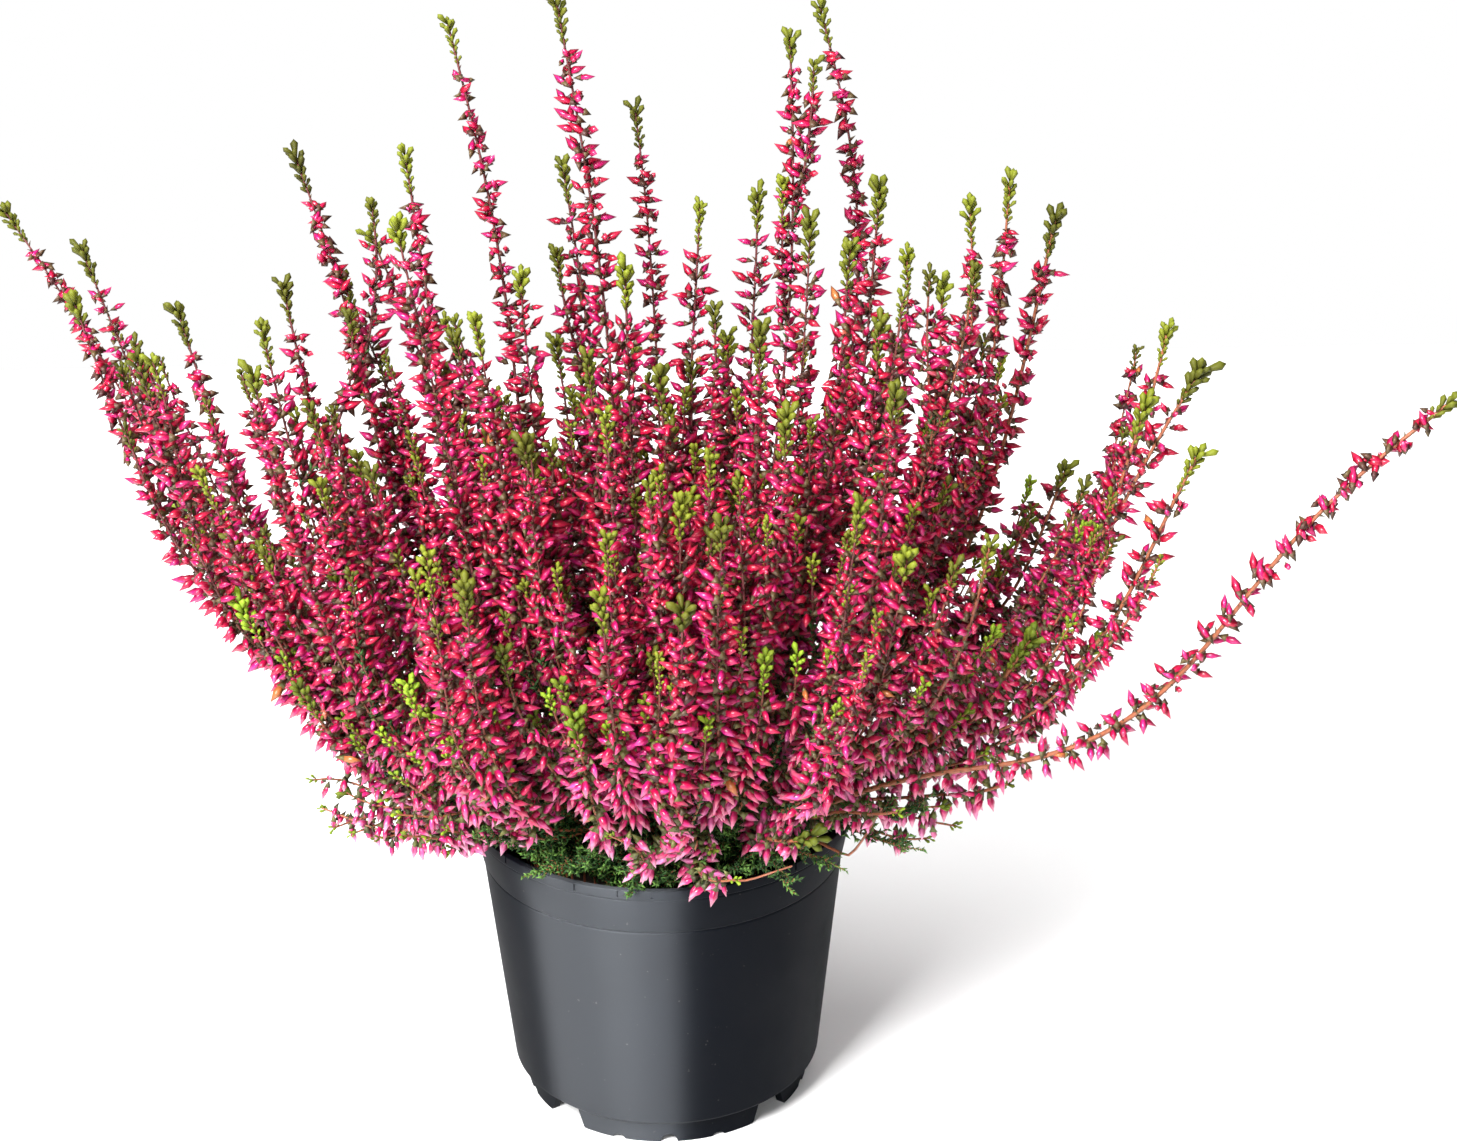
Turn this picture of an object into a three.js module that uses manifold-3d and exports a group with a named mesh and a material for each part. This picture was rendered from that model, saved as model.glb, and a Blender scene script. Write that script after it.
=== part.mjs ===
// A bud-flowering heather in a round nursery pot: the pot, the compost that fills it, the flowering
// shoots in sprays that stand in the compost, and low leafy sprays that hang over the rim.
// Millimetres, +Z up, the pot's axis on the origin and its feet on z = 0.

import * as THREE from "three";
import { mergeVertices } from "three/addons/utils/BufferGeometryUtils.js";
import Module from "manifold-3d";

const wasm = await Module();
wasm.setup();

// The pot, measured across a 120 mm rim
const RIM_R = 60;
const POT_H = 98;
const LIP_Z = 94.8;
const LIP_STEP = 0.8;
const COLLAR_Z = 82.3;
const COLLAR_R = 56.9;
const COLLAR_STEP = 0.4;
const BASE_R = 49.2;
const BASE_Z = 8;
const BASE_ROUND = 1.6;
const WALL = 1.3;
const POT_SIDES = 32;

// The ring of feet under the base, with a gap on each diagonal and three notches in each foot
const FOOT_R = 45.4;
const FOOT_THICK = 2.8;
const FOOT_COUNT = 4;
const FOOT_GAP = 9.5;
const NOTCHES = [
  { turn: -20, radius: 2.3, sink: 1.1 },
  { turn: 0, radius: 2.6, sink: 0 },
  { turn: 20, radius: 2.3, sink: 1.1 },
];
const NOTCH_SIDES = 6;
const DRAIN_R = 3.2;
const DRAIN_RING_R = 34;
const DRAIN_SIDES = 6;

// The compost, and the plain holes that the stems stand in
const COMPOST_TOP = 86;
const GAP = 0.35;
const HOLE_DEPTH = 8;
const NECK = 2;

// The shoots: three-sided stems whose facets are raised to buds or leaves, two at every step up them
const BUD_STEP = 6.9;
const BUD_REACH = 6.4;
const BUD_DROOP = 0.9;
const LEAF_STEP = 4.2;
const LEAF_REACH = 2.9;
const LEAF_LIFT = 1.6;
const SPRAY_LEAF_STEP = 6.5;
const SPRAY_LEAF_REACH = 3.8;
const STEM_R = 1.1;
const FOOT_STEM_R = 2.3;
const FORK_STEM_R = 1.4;
const TIP_R = 0.8;
const HELIX_TURN = 140;
const LEAST_KEPT = 0.1;
const SIDE_TURN = 100;
const TIP_LEAVES = 9;
const TIP_POINT = 5;
const BARE_MAIN = 8;
const BARE_SIDE = 16;
const BARE_LEAFY = 6;
const BARE_INSIDE = 88;
const BARE_REACH = 86;
const FORK_CLEAR = 26;

// How the shoots grow: up from their foot to a fork above the rim, low over it, then up, and how far
// apart they keep
const PATH_POINTS = 22;
const FORK_POINT = 3;
const FORK_RISE = 22;
const FORK_SPREAD = 1.32;
const FORK_MIDDLE = 0.45;
const BELLY = 0.8;
const BELLY_RISE = 0.14;
const TIP_PULL = 0.36;
const DEPTH_LEAN = 0.3;
const STEM_ROOM = 2.7;
const BUD_ROOM = 5;
const LEAF_ROOM = 4;
const RIM_ROOM = 1.6;
const RIM_REACH = 12;
const APART_PASSES = 60;
const EVEN_OUT = 0.1;
const LEAFY_EVEN_OUT = 0.35;
const FINE_STEP = 3;

// The feet of the stems in the compost
const FOOT_SHARE = 0.21;
const FOOT_SPACING = 7.6;
const CROWN_R = 39;
const LEAFY_CROWN_R = 44;
const FEET_PASSES = 80;

// The photograph's eye point and lens, fitted to the pot: how far it stands from the pot's axis and
// above the surface, how it is turned, its focal length and the picture's middle in pixels
const EYE_AWAY = 721;
const EYE_UP = 483;
const EYE_PITCH = THREE.MathUtils.degToRad(23.2);
const EYE_YAW = THREE.MathUtils.degToRad(1.7);
const EYE_ROLL = THREE.MathUtils.degToRad(0.5);
const FOCAL_PX = 2600;
const MIDDLE_COLUMN = 728.5;
const MIDDLE_ROW = 570.5;

// Where the flowering shoots end in the photograph, spray by spray: the tip's column and row in
// pixels, its depth in mm behind the pot's axis, and its lean to the right in degrees
const SPRAYS = {
  left_far: [[5, 212, 91, -38], [82, 250, 62, -18]],
  left_outer: [[75, 305, 10, -14], [137, 362, -34, -12]],
  left_upper: [[178, 312, 34, -12], [262, 330, -20, -8]],
  left_low: [[200, 475, -46, -20], [253, 377, -60, -8]],
  left_tall: [[295, 157, 40, -22], [283, 287, 4, -8]],
  left_inner: [[310, 410, -52, -14], [342, 285, 44, -26]],
  left_middle: [[405, 155, -6, -6], [397, 230, -38, -12]],
  left_centre: [[475, 322, -46, -8], [370, 235, 62, -30]],
  left_fringe: [[322, 808, -24, -80], [238, 606, -34, -24]],
  left_skirt: [[396, 812, -54, -72], [300, 690, -58, -24]],
  tall_left: [[448, 25, 24, -16], [520, 278, -24, -2]],
  tall_middle: [[557, 5, 8, -14], [563, 168, 48, -12]],
  centre_back: [[635, 110, 30, -10], [625, 272, -12, -2]],
  centre: [[700, 208, 26, 6], [715, 312, -28, 0]],
  centre_front: [[588, 360, -44, -4], [660, 378, -52, -4]],
  centre_low: [[605, 415, -76, -4], [710, 460, -70, 0]],
  right_centre: [[760, 333, -50, 2], [758, 195, 42, 2]],
  tall_right: [[790, 40, 10, -4], [810, 225, -26, 0]],
  tall_far_right: [[820, 8, 34, -24], [880, 192, 6, 4]],
  right_inner: [[850, 250, -30, 4], [880, 325, -60, 2]],
  right_middle: [[907, 255, 36, -6], [942, 285, -20, -4]],
  right_tall: [[970, 208, 30, -9], [1010, 182, 4, 0]],
  right_outer: [[1055, 220, 26, 9], [1065, 472, 40, 20]],
  right_high: [[1168, 330, 44, 8], [1200, 372, 16, 34]],
  right_wide: [[1145, 407, -12, 14], [1197, 457, -40, 24]],
  right_stray: [[1450, 403, -93, 57]],
  right_front: [[895, 398, -68, 4], [860, 508, -88, 6]],
  right_low: [[990, 545, -62, 8], [1030, 640, -34, 28]],
  right_fringe: [[1008, 784, -38, 74], [1100, 642, -24, 34]],
  right_skirt: [[898, 812, -64, 66], [812, 838, -72, 60]],
  front_right: [[787, 418, -66, 2], [907, 560, -92, 6]],
  front_left_high: [[372, 475, -44, -4], [525, 447, -58, -4]],
  front_left: [[427, 558, -78, -2], [465, 590, -92, -4]],
  front_left_wide: [[350, 575, -46, -4], [408, 685, -66, -8]],
  front_left_low: [[493, 660, -84, -2], [492, 745, -74, 0]],
  front_high: [[607, 540, -82, -2], [680, 505, -78, 2]],
  front_middle: [[600, 600, -100, -4], [683, 612, -103, 4]],
  front_low: [[575, 720, -82, -6], [683, 735, -80, -2]],
  front_right_low: [[722, 530, -96, 2], [765, 660, -82, 4]],
  front_fringe: [[736, 880, -82, 70], [610, 834, -84, -70]],
};

// The half of the bush that the photograph doesn't show: rows of shoots round the back, two to a spray
const BACK_ROWS = [
  { sprays: 2, reach: 60, height: 232 },
  { sprays: 3, reach: 88, height: 206 },
  { sprays: 3, reach: 108, height: 164 },
  { sprays: 2, reach: 98, height: 128 },
];
const BACK_SPAN = 150;
const BACK_LEAN = 22;
const BACK_WIDER = 1.25;

// Where the low leafy sprays end: turn from the front in degrees, reach and height in mm
const LEAFY_SPRAYS = [
  [-86, 92, 106], [-52, 80, 112], [-26, 72, 108],
  [34, 82, 108], [60, 94, 112], [142, 82, 110], [-142, 84, 110],
];
const LEAFY_SPREAD = 15;
const LEAFY_SHORTER = 4;
const LEAFY_HIGHER = 6;
const LEAFY_LEAN = 70;

const SEED = 7;

// Colours
const POT_COLOUR = 0x23272d;
const COMPOST_COLOUR = 0x2a2119;
const BLOOM_COLOUR = 0xb01c4c;
const LEAF_COLOUR = 0x2c5228;

// Solids

function toSolid(geometry) {
  const bare = geometry.clone();
  bare.deleteAttribute("normal");
  bare.deleteAttribute("uv");
  const merged = mergeVertices(bare, 1e-4);
  const index = merged.index.array;
  const kept = [];
  for (let i = 0; i < index.length; i += 3) {
    const [a, b, c] = [index[i], index[i + 1], index[i + 2]];
    if (a !== b && b !== c && c !== a) kept.push(a, b, c);
  }
  return new wasm.Manifold(new wasm.Mesh({
    numProp: 3,
    vertProperties: new Float32Array(merged.attributes.position.array),
    triVerts: new Uint32Array(kept),
  }));
}

function toGeometry(solid) {
  const mesh = solid.getMesh();
  const geometry = new THREE.BufferGeometry();
  geometry.setAttribute("position", new THREE.BufferAttribute(mesh.vertProperties, 3));
  geometry.setIndex(new THREE.BufferAttribute(mesh.triVerts, 1));
  return geometry;
}

function revolved(outline) {
  const points = outline.map(([r, z]) => new THREE.Vector2(r, z));
  const lathe = new THREE.LatheGeometry(points, POT_SIDES);
  lathe.rotateX(Math.PI / 2);
  return toSolid(lathe);
}

function polar(turn, reach, height) {
  const angle = THREE.MathUtils.degToRad(turn);
  return new THREE.Vector3(reach * Math.sin(angle), -reach * Math.cos(angle), height);
}

// Pot

function innerRadius(z) {
  const slope = (COLLAR_R - COLLAR_STEP - BASE_R) / (COLLAR_Z - BASE_Z);
  const flare = (RIM_R - LIP_STEP - COLLAR_R) / (LIP_Z - COLLAR_Z);
  const wall = BASE_R + slope * (Math.min(z, COLLAR_Z) - BASE_Z);
  return wall + flare * Math.max(z - COLLAR_Z, 0) - WALL;
}

function potShell() {
  const floor = BASE_Z + WALL;
  return revolved([
    [0, BASE_Z],
    [BASE_R - BASE_ROUND, BASE_Z],
    [BASE_R - 0.3 * BASE_ROUND, BASE_Z + 0.3 * BASE_ROUND],
    [BASE_R, BASE_Z + BASE_ROUND],
    [COLLAR_R - COLLAR_STEP, COLLAR_Z],
    [COLLAR_R, COLLAR_Z],
    [RIM_R - LIP_STEP, LIP_Z],
    [RIM_R, LIP_Z + 0.3],
    [RIM_R, POT_H - 0.4],
    [RIM_R - 0.5, POT_H],
    [RIM_R - LIP_STEP - WALL, POT_H],
    [innerRadius(LIP_Z), LIP_Z],
    [innerRadius(COLLAR_Z), COLLAR_Z],
    [innerRadius(floor), floor],
    [0, floor],
  ]);
}

function footRing() {
  let ring = revolved([
    [FOOT_R - FOOT_THICK, 0],
    [FOOT_R, 0],
    [FOOT_R, BASE_Z + 0.5 * WALL],
    [FOOT_R - FOOT_THICK, BASE_Z + 0.5 * WALL],
    [FOOT_R - FOOT_THICK, 0],
  ]);
  for (let foot = 0; foot < FOOT_COUNT; foot += 1) {
    const front = (360 / FOOT_COUNT) * foot;
    const gap = new THREE.BoxGeometry(FOOT_GAP, 4 * FOOT_THICK, 2 * BASE_Z);
    ring = ring.subtract(placed(gap, front + 180 / FOOT_COUNT, 0));
    for (const { turn, radius, sink } of NOTCHES) {
      const notch = new THREE.CylinderGeometry(radius, radius, 4 * FOOT_THICK, NOTCH_SIDES);
      ring = ring.subtract(placed(notch, front + turn, -sink));
    }
  }
  return ring;
}

function placed(geometry, turn, z) {
  const at = polar(turn, FOOT_R - FOOT_THICK / 2, z);
  geometry.rotateZ(THREE.MathUtils.degToRad(turn));
  geometry.translate(at.x, at.y, at.z);
  return toSolid(geometry);
}

function drain(turn, reach) {
  const hole = new THREE.CylinderGeometry(DRAIN_R, DRAIN_R, 4 * WALL, DRAIN_SIDES);
  const at = polar(turn, reach, BASE_Z);
  hole.rotateX(Math.PI / 2);
  hole.translate(at.x, at.y, at.z);
  return toSolid(hole);
}

function pot() {
  let solid = potShell().add(footRing()).subtract(drain(0, 0));
  for (let foot = 0; foot < FOOT_COUNT; foot += 1) {
    solid = solid.subtract(drain((360 / FOOT_COUNT) * (foot + 0.5), DRAIN_RING_R));
  }
  return solid;
}

// Compost, with a three-sided hole round each stem

function compost(feet) {
  const floor = BASE_Z + WALL + GAP;
  let solid = revolved([
    [0, floor],
    [innerRadius(floor) - GAP, floor],
    [innerRadius(COLLAR_Z) - GAP, COLLAR_Z],
    [innerRadius(COMPOST_TOP) - 3 * GAP, COMPOST_TOP],
    [0, COMPOST_TOP],
  ]);
  for (const foot of feet) {
    const hole = new THREE.CylinderGeometry(1, 1, 1, 3);
    hole.rotateX(Math.PI / 2);
    hole.rotateZ(Math.PI / 2);
    const radius = FOOT_STEM_R + 2 * GAP;
    hole.scale(radius, radius, 2 * (HOLE_DEPTH + GAP));
    hole.translate(foot.x, foot.y, COMPOST_TOP);
    solid = solid.subtract(toSolid(hole));
  }
  return solid;
}

// Where the shoots go

let draw = SEED;

function chance(low, high) {
  draw = (Math.imul(draw, 1103515245) + 12345) & 0x7fffffff;
  return low + ((high - low) * draw) / 0x80000000;
}

function fromPhoto([column, row, depth]) {
  const ahead = new THREE.Vector3(
    Math.sin(EYE_YAW) * Math.cos(EYE_PITCH),
    Math.cos(EYE_YAW) * Math.cos(EYE_PITCH),
    -Math.sin(EYE_PITCH),
  );
  const right = new THREE.Vector3(Math.cos(EYE_YAW), -Math.sin(EYE_YAW), 0);
  const up = new THREE.Vector3().crossVectors(right, ahead);
  right.applyAxisAngle(ahead, EYE_ROLL);
  up.applyAxisAngle(ahead, EYE_ROLL);
  const sight = ahead.clone();
  sight.addScaledVector(right, (column - MIDDLE_COLUMN) / FOCAL_PX);
  sight.addScaledVector(up, (MIDDLE_ROW - row) / FOCAL_PX);
  sight.multiplyScalar((depth + EYE_AWAY) / sight.y);
  return sight.add(new THREE.Vector3(0, -EYE_AWAY, EYE_UP));
}

function photoSprays() {
  return Object.entries(SPRAYS).map(([name, readings]) => ({
    name: `shoots_${name}`,
    crown: CROWN_R,
    ends: readings.map((reading) => ({ tip: fromPhoto(reading), lean: reading[3] })),
  }));
}

function backSprays() {
  const sprays = [];
  for (const { sprays: count, reach, height } of BACK_ROWS) {
    const step = BACK_SPAN / (2 * count);
    for (let i = 0; i < count; i += 1) {
      const ends = [0, 1].map((side) => {
        const turn = 180 - BACK_SPAN / 2 + step * (2 * i + side + 0.5) + chance(-4, 4);
        const tip = polar(turn, reach * chance(0.94, 1.06), height * chance(0.96, 1.04));
        tip.x *= BACK_WIDER;
        return { tip, lean: (BACK_LEAN * tip.x) / reach };
      });
      sprays.push({ name: `shoots_back_${sprays.length + 1}`, crown: CROWN_R, ends });
    }
  }
  return sprays;
}

function leafySprays() {
  return LEAFY_SPRAYS.map(([turn, reach, height], i) => ({
    name: `leafy_spray_${i + 1}`,
    crown: LEAFY_CROWN_R,
    leafy: true,
    ends: [-0.5, 0.5].map((side) => {
      const far = reach - LEAFY_SHORTER * side;
      const tip = polar(turn + LEAFY_SPREAD * side, far, height + LEAFY_HIGHER * side);
      return { tip, lean: turn < 0 ? -LEAFY_LEAN : LEAFY_LEAN };
    }),
  }));
}

function setFeet(sprays) {
  for (const spray of sprays) {
    const foot = new THREE.Vector3();
    for (const { tip } of spray.ends) foot.addScaledVector(tip, FOOT_SHARE / spray.ends.length);
    foot.z = 0;
    spray.foot = spray.leafy ? foot.setLength(spray.crown) : foot.clampLength(0, spray.crown);
  }
  for (let pass = 0; pass < FEET_PASSES; pass += 1) {
    for (const a of sprays) {
      for (const b of sprays) {
        const apart = new THREE.Vector3().subVectors(a.foot, b.foot);
        const short = FOOT_SPACING - apart.length();
        if (a === b || short <= 0) continue;
        apart.setLength(short / 2);
        a.foot.add(apart).clampLength(0, a.crown);
        b.foot.sub(apart).clampLength(0, b.crown);
      }
    }
  }
}

function growPath(start, { tip, lean }) {
  const across = new THREE.Vector3().subVectors(tip, start);
  const length = across.length();
  const angle = THREE.MathUtils.degToRad(lean);
  const end = new THREE.Vector3(Math.sin(angle), (DEPTH_LEAN * across.y) / length, Math.cos(angle));
  const low = new THREE.Vector3(BELLY * across.x, BELLY * across.y, BELLY_RISE * across.z);
  const first = start.clone().add(low);
  const last = tip.clone().sub(end.setLength(TIP_PULL * length));
  return new THREE.CubicBezierCurve3(start, first, last, tip).getPoints(PATH_POINTS).slice(1);
}

function growShoots(sprays) {
  const shoots = [];
  sprays.forEach((spray, number) => {
    const root = spray.foot.clone().setZ(COMPOST_TOP - HOLE_DEPTH);
    const neck = spray.foot.clone().setZ(COMPOST_TOP + NECK);
    const fork = spray.foot.clone().multiplyScalar(FORK_SPREAD).setZ(COMPOST_TOP + FORK_RISE);
    const middle = neck.clone().lerp(fork, FORK_MIDDLE);
    spray.ends.forEach((end, i) => {
      const below = i === 0 ? [root, neck, middle] : [];
      const points = [...below, fork, ...growPath(fork, end)];
      shoots.push({ spray, number, points, held: i === 0 ? 2 : 1, side: i > 0 });
    });
  });
  return shoots;
}

function pathLength(points) {
  return points.slice(1).reduce((sum, point, k) => sum + point.distanceTo(points[k]), 0);
}

// Bends the paths of different sprays clear of each other and of the pot's rim

function forkDistance(shoot) {
  return shoot.side ? 0 : pathLength(shoot.points.slice(0, FORK_POINT + 1));
}

function bareLength(shoot) {
  if (shoot.spray.leafy) return forkDistance(shoot) + BARE_LEAFY;
  const tip = shoot.points[shoot.points.length - 1];
  const inside = Math.max(0, 1 - Math.hypot(tip.x, tip.y) / BARE_REACH);
  return forkDistance(shoot) + (shoot.side ? BARE_SIDE : BARE_MAIN) + BARE_INSIDE * inside;
}

function bendClear(shoots) {
  const spots = [];
  for (const shoot of shoots) {
    let along = 0;
    shoot.points.forEach((point, k) => {
      if (k > 0) along += point.distanceTo(shoot.points[k - 1]);
      const full = shoot.spray.leafy ? LEAF_ROOM : BUD_ROOM;
      const room = along < bareLength(shoot) ? STEM_ROOM : full;
      const free = along > forkDistance(shoot) + FORK_CLEAR;
      spots.push({ shoot, point, k, room, free, push: new THREE.Vector3() });
    });
  }
  const close = [];
  spots.forEach((a, i) => {
    for (const b of spots.slice(i + 1)) {
      const near = a.point.distanceTo(b.point) < 2 * (a.room + b.room);
      const own = a.shoot.number === b.shoot.number;
      if (near && a.shoot !== b.shoot && (!own || (a.free && b.free))) close.push([a, b]);
    }
  });
  for (let pass = 0; pass < APART_PASSES; pass += 1) {
    for (const spot of spots) spot.push.set(0, 0, 0);
    for (const [a, b] of close) {
      const apart = new THREE.Vector3().subVectors(a.point, b.point);
      const short = a.room + b.room - apart.length();
      if (short <= 0) continue;
      apart.setLength(short / 2);
      a.push.add(apart);
      b.push.sub(apart);
    }
    spots.forEach((spot, i) => {
      if (spot.k < spot.shoot.held) return;
      const push = spot.push.clone();
      const before = spots[i - 1].push;
      const after = spot.k < spot.shoot.points.length - 1 ? spots[i + 1].push : spot.push;
      push.multiplyScalar(0.5).addScaledVector(before, 0.25).addScaledVector(after, 0.25);
      spot.point.add(push);
      if (spot.k < spot.shoot.points.length - 1) {
        const even = spots[i - 1].point.clone().lerp(spots[i + 1].point, 0.5);
        spot.point.lerp(even, spot.shoot.spray.leafy ? LEAFY_EVEN_OUT : EVEN_OUT);
      }
      liftOverRim(spot.point, spot.room);
    });
  }
}

function liftOverRim(point, room) {
  const reach = Math.hypot(point.x, point.y);
  const clear = RIM_ROOM * room;
  if (Math.abs(reach - RIM_R) > RIM_REACH) return;
  point.z = Math.max(point.z, POT_H + clear);
}

// One shoot as a closed solid: a bare stem, then corners that wind up its path in a helix, each
// facet between them raised to a point where a bud or leaf grows, and a pointed end

function pathAt(points, distance) {
  let left = distance;
  for (let k = 1; k < points.length; k += 1) {
    const step = points[k].distanceTo(points[k - 1]);
    if (left <= step || k === points.length - 1) {
      const along = new THREE.Vector3().subVectors(points[k], points[k - 1]).normalize();
      return { at: points[k - 1].clone().addScaledVector(along, left), along };
    }
    left -= step;
  }
  return null;
}

function bareRings(shoot) {
  const start = bareLength(shoot);
  const fork = forkDistance(shoot);
  const neck = HOLE_DEPTH + NECK;
  if (shoot.side) return [[0, STEM_R], [start / 2, STEM_R], [start, STEM_R]];
  const rings = [[0, FOOT_STEM_R], [neck, FOOT_STEM_R], [fork, FORK_STEM_R]];
  if (start - fork > 2 * BARE_SIDE) rings.push([(fork + start) / 2, STEM_R]);
  return [...rings, [start, STEM_R]];
}

function helixCorners(shoot, length) {
  const start = bareLength(shoot);
  const leaves = length - TIP_LEAVES - TIP_POINT;
  const leafy = Boolean(shoot.spray.leafy);
  const count = Math.max(2, Math.round((leaves - start) / (leafy ? SPRAY_LEAF_STEP : BUD_STEP)));
  const step = (leaves - start) / count;
  const reach = leafy ? SPRAY_LEAF_REACH : BUD_REACH;
  const lift = leafy ? LEAF_LIFT : -BUD_DROOP;
  const corners = [];
  for (let i = 1; i <= count; i += 1) {
    const r = STEM_R + ((TIP_R - STEM_R) * i) / count;
    corners.push({ s: start + step * i, r, reach, lift });
  }
  for (let s = LEAF_STEP; s <= TIP_LEAVES; s += LEAF_STEP) {
    corners.push({ s: leaves + s, r: TIP_R, reach: LEAF_REACH, lift: LEAF_LIFT });
  }
  return corners;
}

function shootSolid(shoot, shoots) {
  const length = pathLength(shoot.points);
  const side = polar(shoot.side ? SIDE_TURN : 90, 1, 0);
  const corners = [];
  const faces = [];
  const addCorner = (s, r, turn) => {
    const { at, along } = pathAt(shoot.points, s);
    side.addScaledVector(along, -side.dot(along)).normalize();
    const out = side.clone().applyAxisAngle(along, THREE.MathUtils.degToRad(turn));
    return corners.push(at.addScaledVector(out, r)) - 1;
  };
  const addRing = ([s, r]) => [0, 120, 240].map((turn) => addCorner(s, r, turn));
  const rings = bareRings(shoot).map(addRing);
  faces.push([...rings[0]].reverse());
  for (let i = 1; i < rings.length; i += 1) {
    for (let k = 0; k < 3; k += 1) {
      const next = (k + 1) % 3;
      faces.push([rings[i - 1][k], rings[i - 1][next], rings[i][k]]);
      faces.push([rings[i][k], rings[i - 1][next], rings[i][next]]);
    }
  }
  const stations = helixCorners(shoot, length);
  const start = bareLength(shoot);
  const helix = rings[rings.length - 1].map((corner) => ({ corner, s: start }));
  stations.forEach((station, i) => {
    helix.push({ ...station, corner: addCorner(station.s, station.r, HELIX_TURN * (i + 3)) });
  });
  faces.push([helix[0].corner, helix[3].corner, helix[2].corner]);
  for (let i = 0; i + 3 < helix.length; i += 1) {
    const facets = [[helix[i], helix[i + 1], helix[i + 3]]];
    if (i + 4 < helix.length) facets.push([helix[i + 1], helix[i + 4], helix[i + 3]]);
    for (const facet of facets) {
      const tip = corners.push(budTip(facet, corners, helix[i + 3], shoot, shoots)) - 1;
      facet.forEach((from, k) => faces.push([from.corner, facet[(k + 1) % 3].corner, tip]));
    }
  }
  const point = corners.push(pathAt(shoot.points, length).at) - 1;
  const [a, b, c] = helix.slice(-3).map((end) => end.corner);
  faces.push([c, a, point], [b, c, point], [a, b, point]);
  const geometry = new THREE.BufferGeometry();
  geometry.setFromPoints(corners);
  geometry.setIndex(faces.flat());
  return toSolid(geometry);
}

// A bud's point, straight out from its facet, drawn in where it would come too near another shoot
function budTip(facet, corners, station, shoot, shoots) {
  const [a, b, c] = facet.map((from) => corners[from.corner]);
  const middle = new THREE.Vector3().addVectors(a, b).add(c).divideScalar(3);
  const s = facet.reduce((sum, from) => sum + from.s / 3, 0);
  const { along } = pathAt(shoot.points, s);
  const out = b.clone().sub(a).cross(c.clone().sub(a)).setLength(station.reach - STEM_R / 2);
  out.addScaledVector(along, station.lift);
  let keep = 1;
  for (const other of shoots) {
    if (other === shoot) continue;
    for (const point of other.number === shoot.number ? other.free : other.near) {
      const apart = new THREE.Vector3().subVectors(point, middle);
      const distance = apart.length();
      if (distance > 3 * BUD_REACH) continue;
      const reached = out.dot(apart) / distance;
      if (reached > 0) keep = Math.min(keep, (distance / 2 - GAP) / reached);
    }
  }
  return middle.addScaledVector(out, Math.max(keep, LEAST_KEPT));
}

// Assembly

function coloured(name, solid, colour, roughness) {
  const material = new THREE.MeshStandardMaterial({ color: colour, roughness, metalness: 0 });
  const mesh = new THREE.Mesh(toGeometry(solid), material);
  mesh.name = name;
  return mesh;
}

function finePoints(shoot, from) {
  const fine = [];
  const length = pathLength(shoot.points);
  for (let s = from; s < length; s += FINE_STEP) fine.push(pathAt(shoot.points, s).at);
  return fine;
}

const sprays = [...photoSprays(), ...backSprays(), ...leafySprays()];
setFeet(sprays);
const shoots = growShoots(sprays);
bendClear(shoots);
for (const shoot of shoots) {
  shoot.near = finePoints(shoot, 0);
  shoot.free = finePoints(shoot, forkDistance(shoot) + FORK_CLEAR);
}

const heather = new THREE.Group();
heather.add(coloured("pot", pot(), POT_COLOUR, 0.42));
heather.add(coloured("compost", compost(sprays.map((spray) => spray.foot)), COMPOST_COLOUR, 0.95));
sprays.forEach((spray, number) => {
  const own = shoots.filter((shoot) => shoot.number === number);
  const solid = own.map((shoot) => shootSolid(shoot, shoots)).reduce((a, b) => a.add(b));
  const colour = spray.leafy ? LEAF_COLOUR : BLOOM_COLOUR;
  heather.add(coloured(spray.name, solid, colour, 0.6));
});

export default heather;
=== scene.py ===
"""A bud-flowering heather in a round nursery pot: the finish of the pot and compost, and every
flowering shoot, bud, bract, scale leaf and leafy sprig, grown along the paths of the frame's shoots."""
import math

import bpy
import bmesh
import numpy as np
from mathutils import Matrix, Vector


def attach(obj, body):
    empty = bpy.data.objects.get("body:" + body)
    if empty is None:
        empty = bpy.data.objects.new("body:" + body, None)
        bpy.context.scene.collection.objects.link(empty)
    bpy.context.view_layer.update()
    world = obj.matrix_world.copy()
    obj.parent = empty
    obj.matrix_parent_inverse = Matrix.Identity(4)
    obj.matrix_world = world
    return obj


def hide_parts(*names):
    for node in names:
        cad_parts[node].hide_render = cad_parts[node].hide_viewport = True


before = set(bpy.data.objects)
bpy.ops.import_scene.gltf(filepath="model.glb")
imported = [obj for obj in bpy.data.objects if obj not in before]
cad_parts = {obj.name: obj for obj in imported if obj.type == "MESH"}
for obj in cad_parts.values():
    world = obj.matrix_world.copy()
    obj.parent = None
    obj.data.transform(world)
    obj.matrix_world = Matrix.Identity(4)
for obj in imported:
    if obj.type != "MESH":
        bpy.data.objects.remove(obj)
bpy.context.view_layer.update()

MM = 0.001
SEED = 7

# The pot and compost, in millimetres
RIM_R = 60
POT_H = 98
LIP_Z = 94.8
LIP_STEP = 0.8
COLLAR_Z = 82.3
COLLAR_R = 56.9
COLLAR_STEP = 0.4
GROOVE = 0.3
BASE_R = 49.2
BASE_Z = 8
BASE_ROUND = 1.6
WALL = 1.3
POT_EASE = 0.4
POT_SIDES = 160
POT_SHARP = 38
FOOT_R = 45.4
FOOT_THICK = 2.8
FOOT_SUNK = 0.8
FOOT_COUNT = 4
FOOT_GAP = 8.6
FOOT_SLANT = 3
NOTCHES = [(-20, 2.3, 1.1), (0, 2.6, 0), (20, 2.3, 1.1)]
DRAIN_R = 3.2
DRAIN_RING_R = 34
RIM_TICKS = [-52, -26, -13, -3.5, 41, 96, 150, 205, 262]
TICK = (0.7, 0.8)
COMPOST_TOP = 86
COMPOST_R = 55.4
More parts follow.
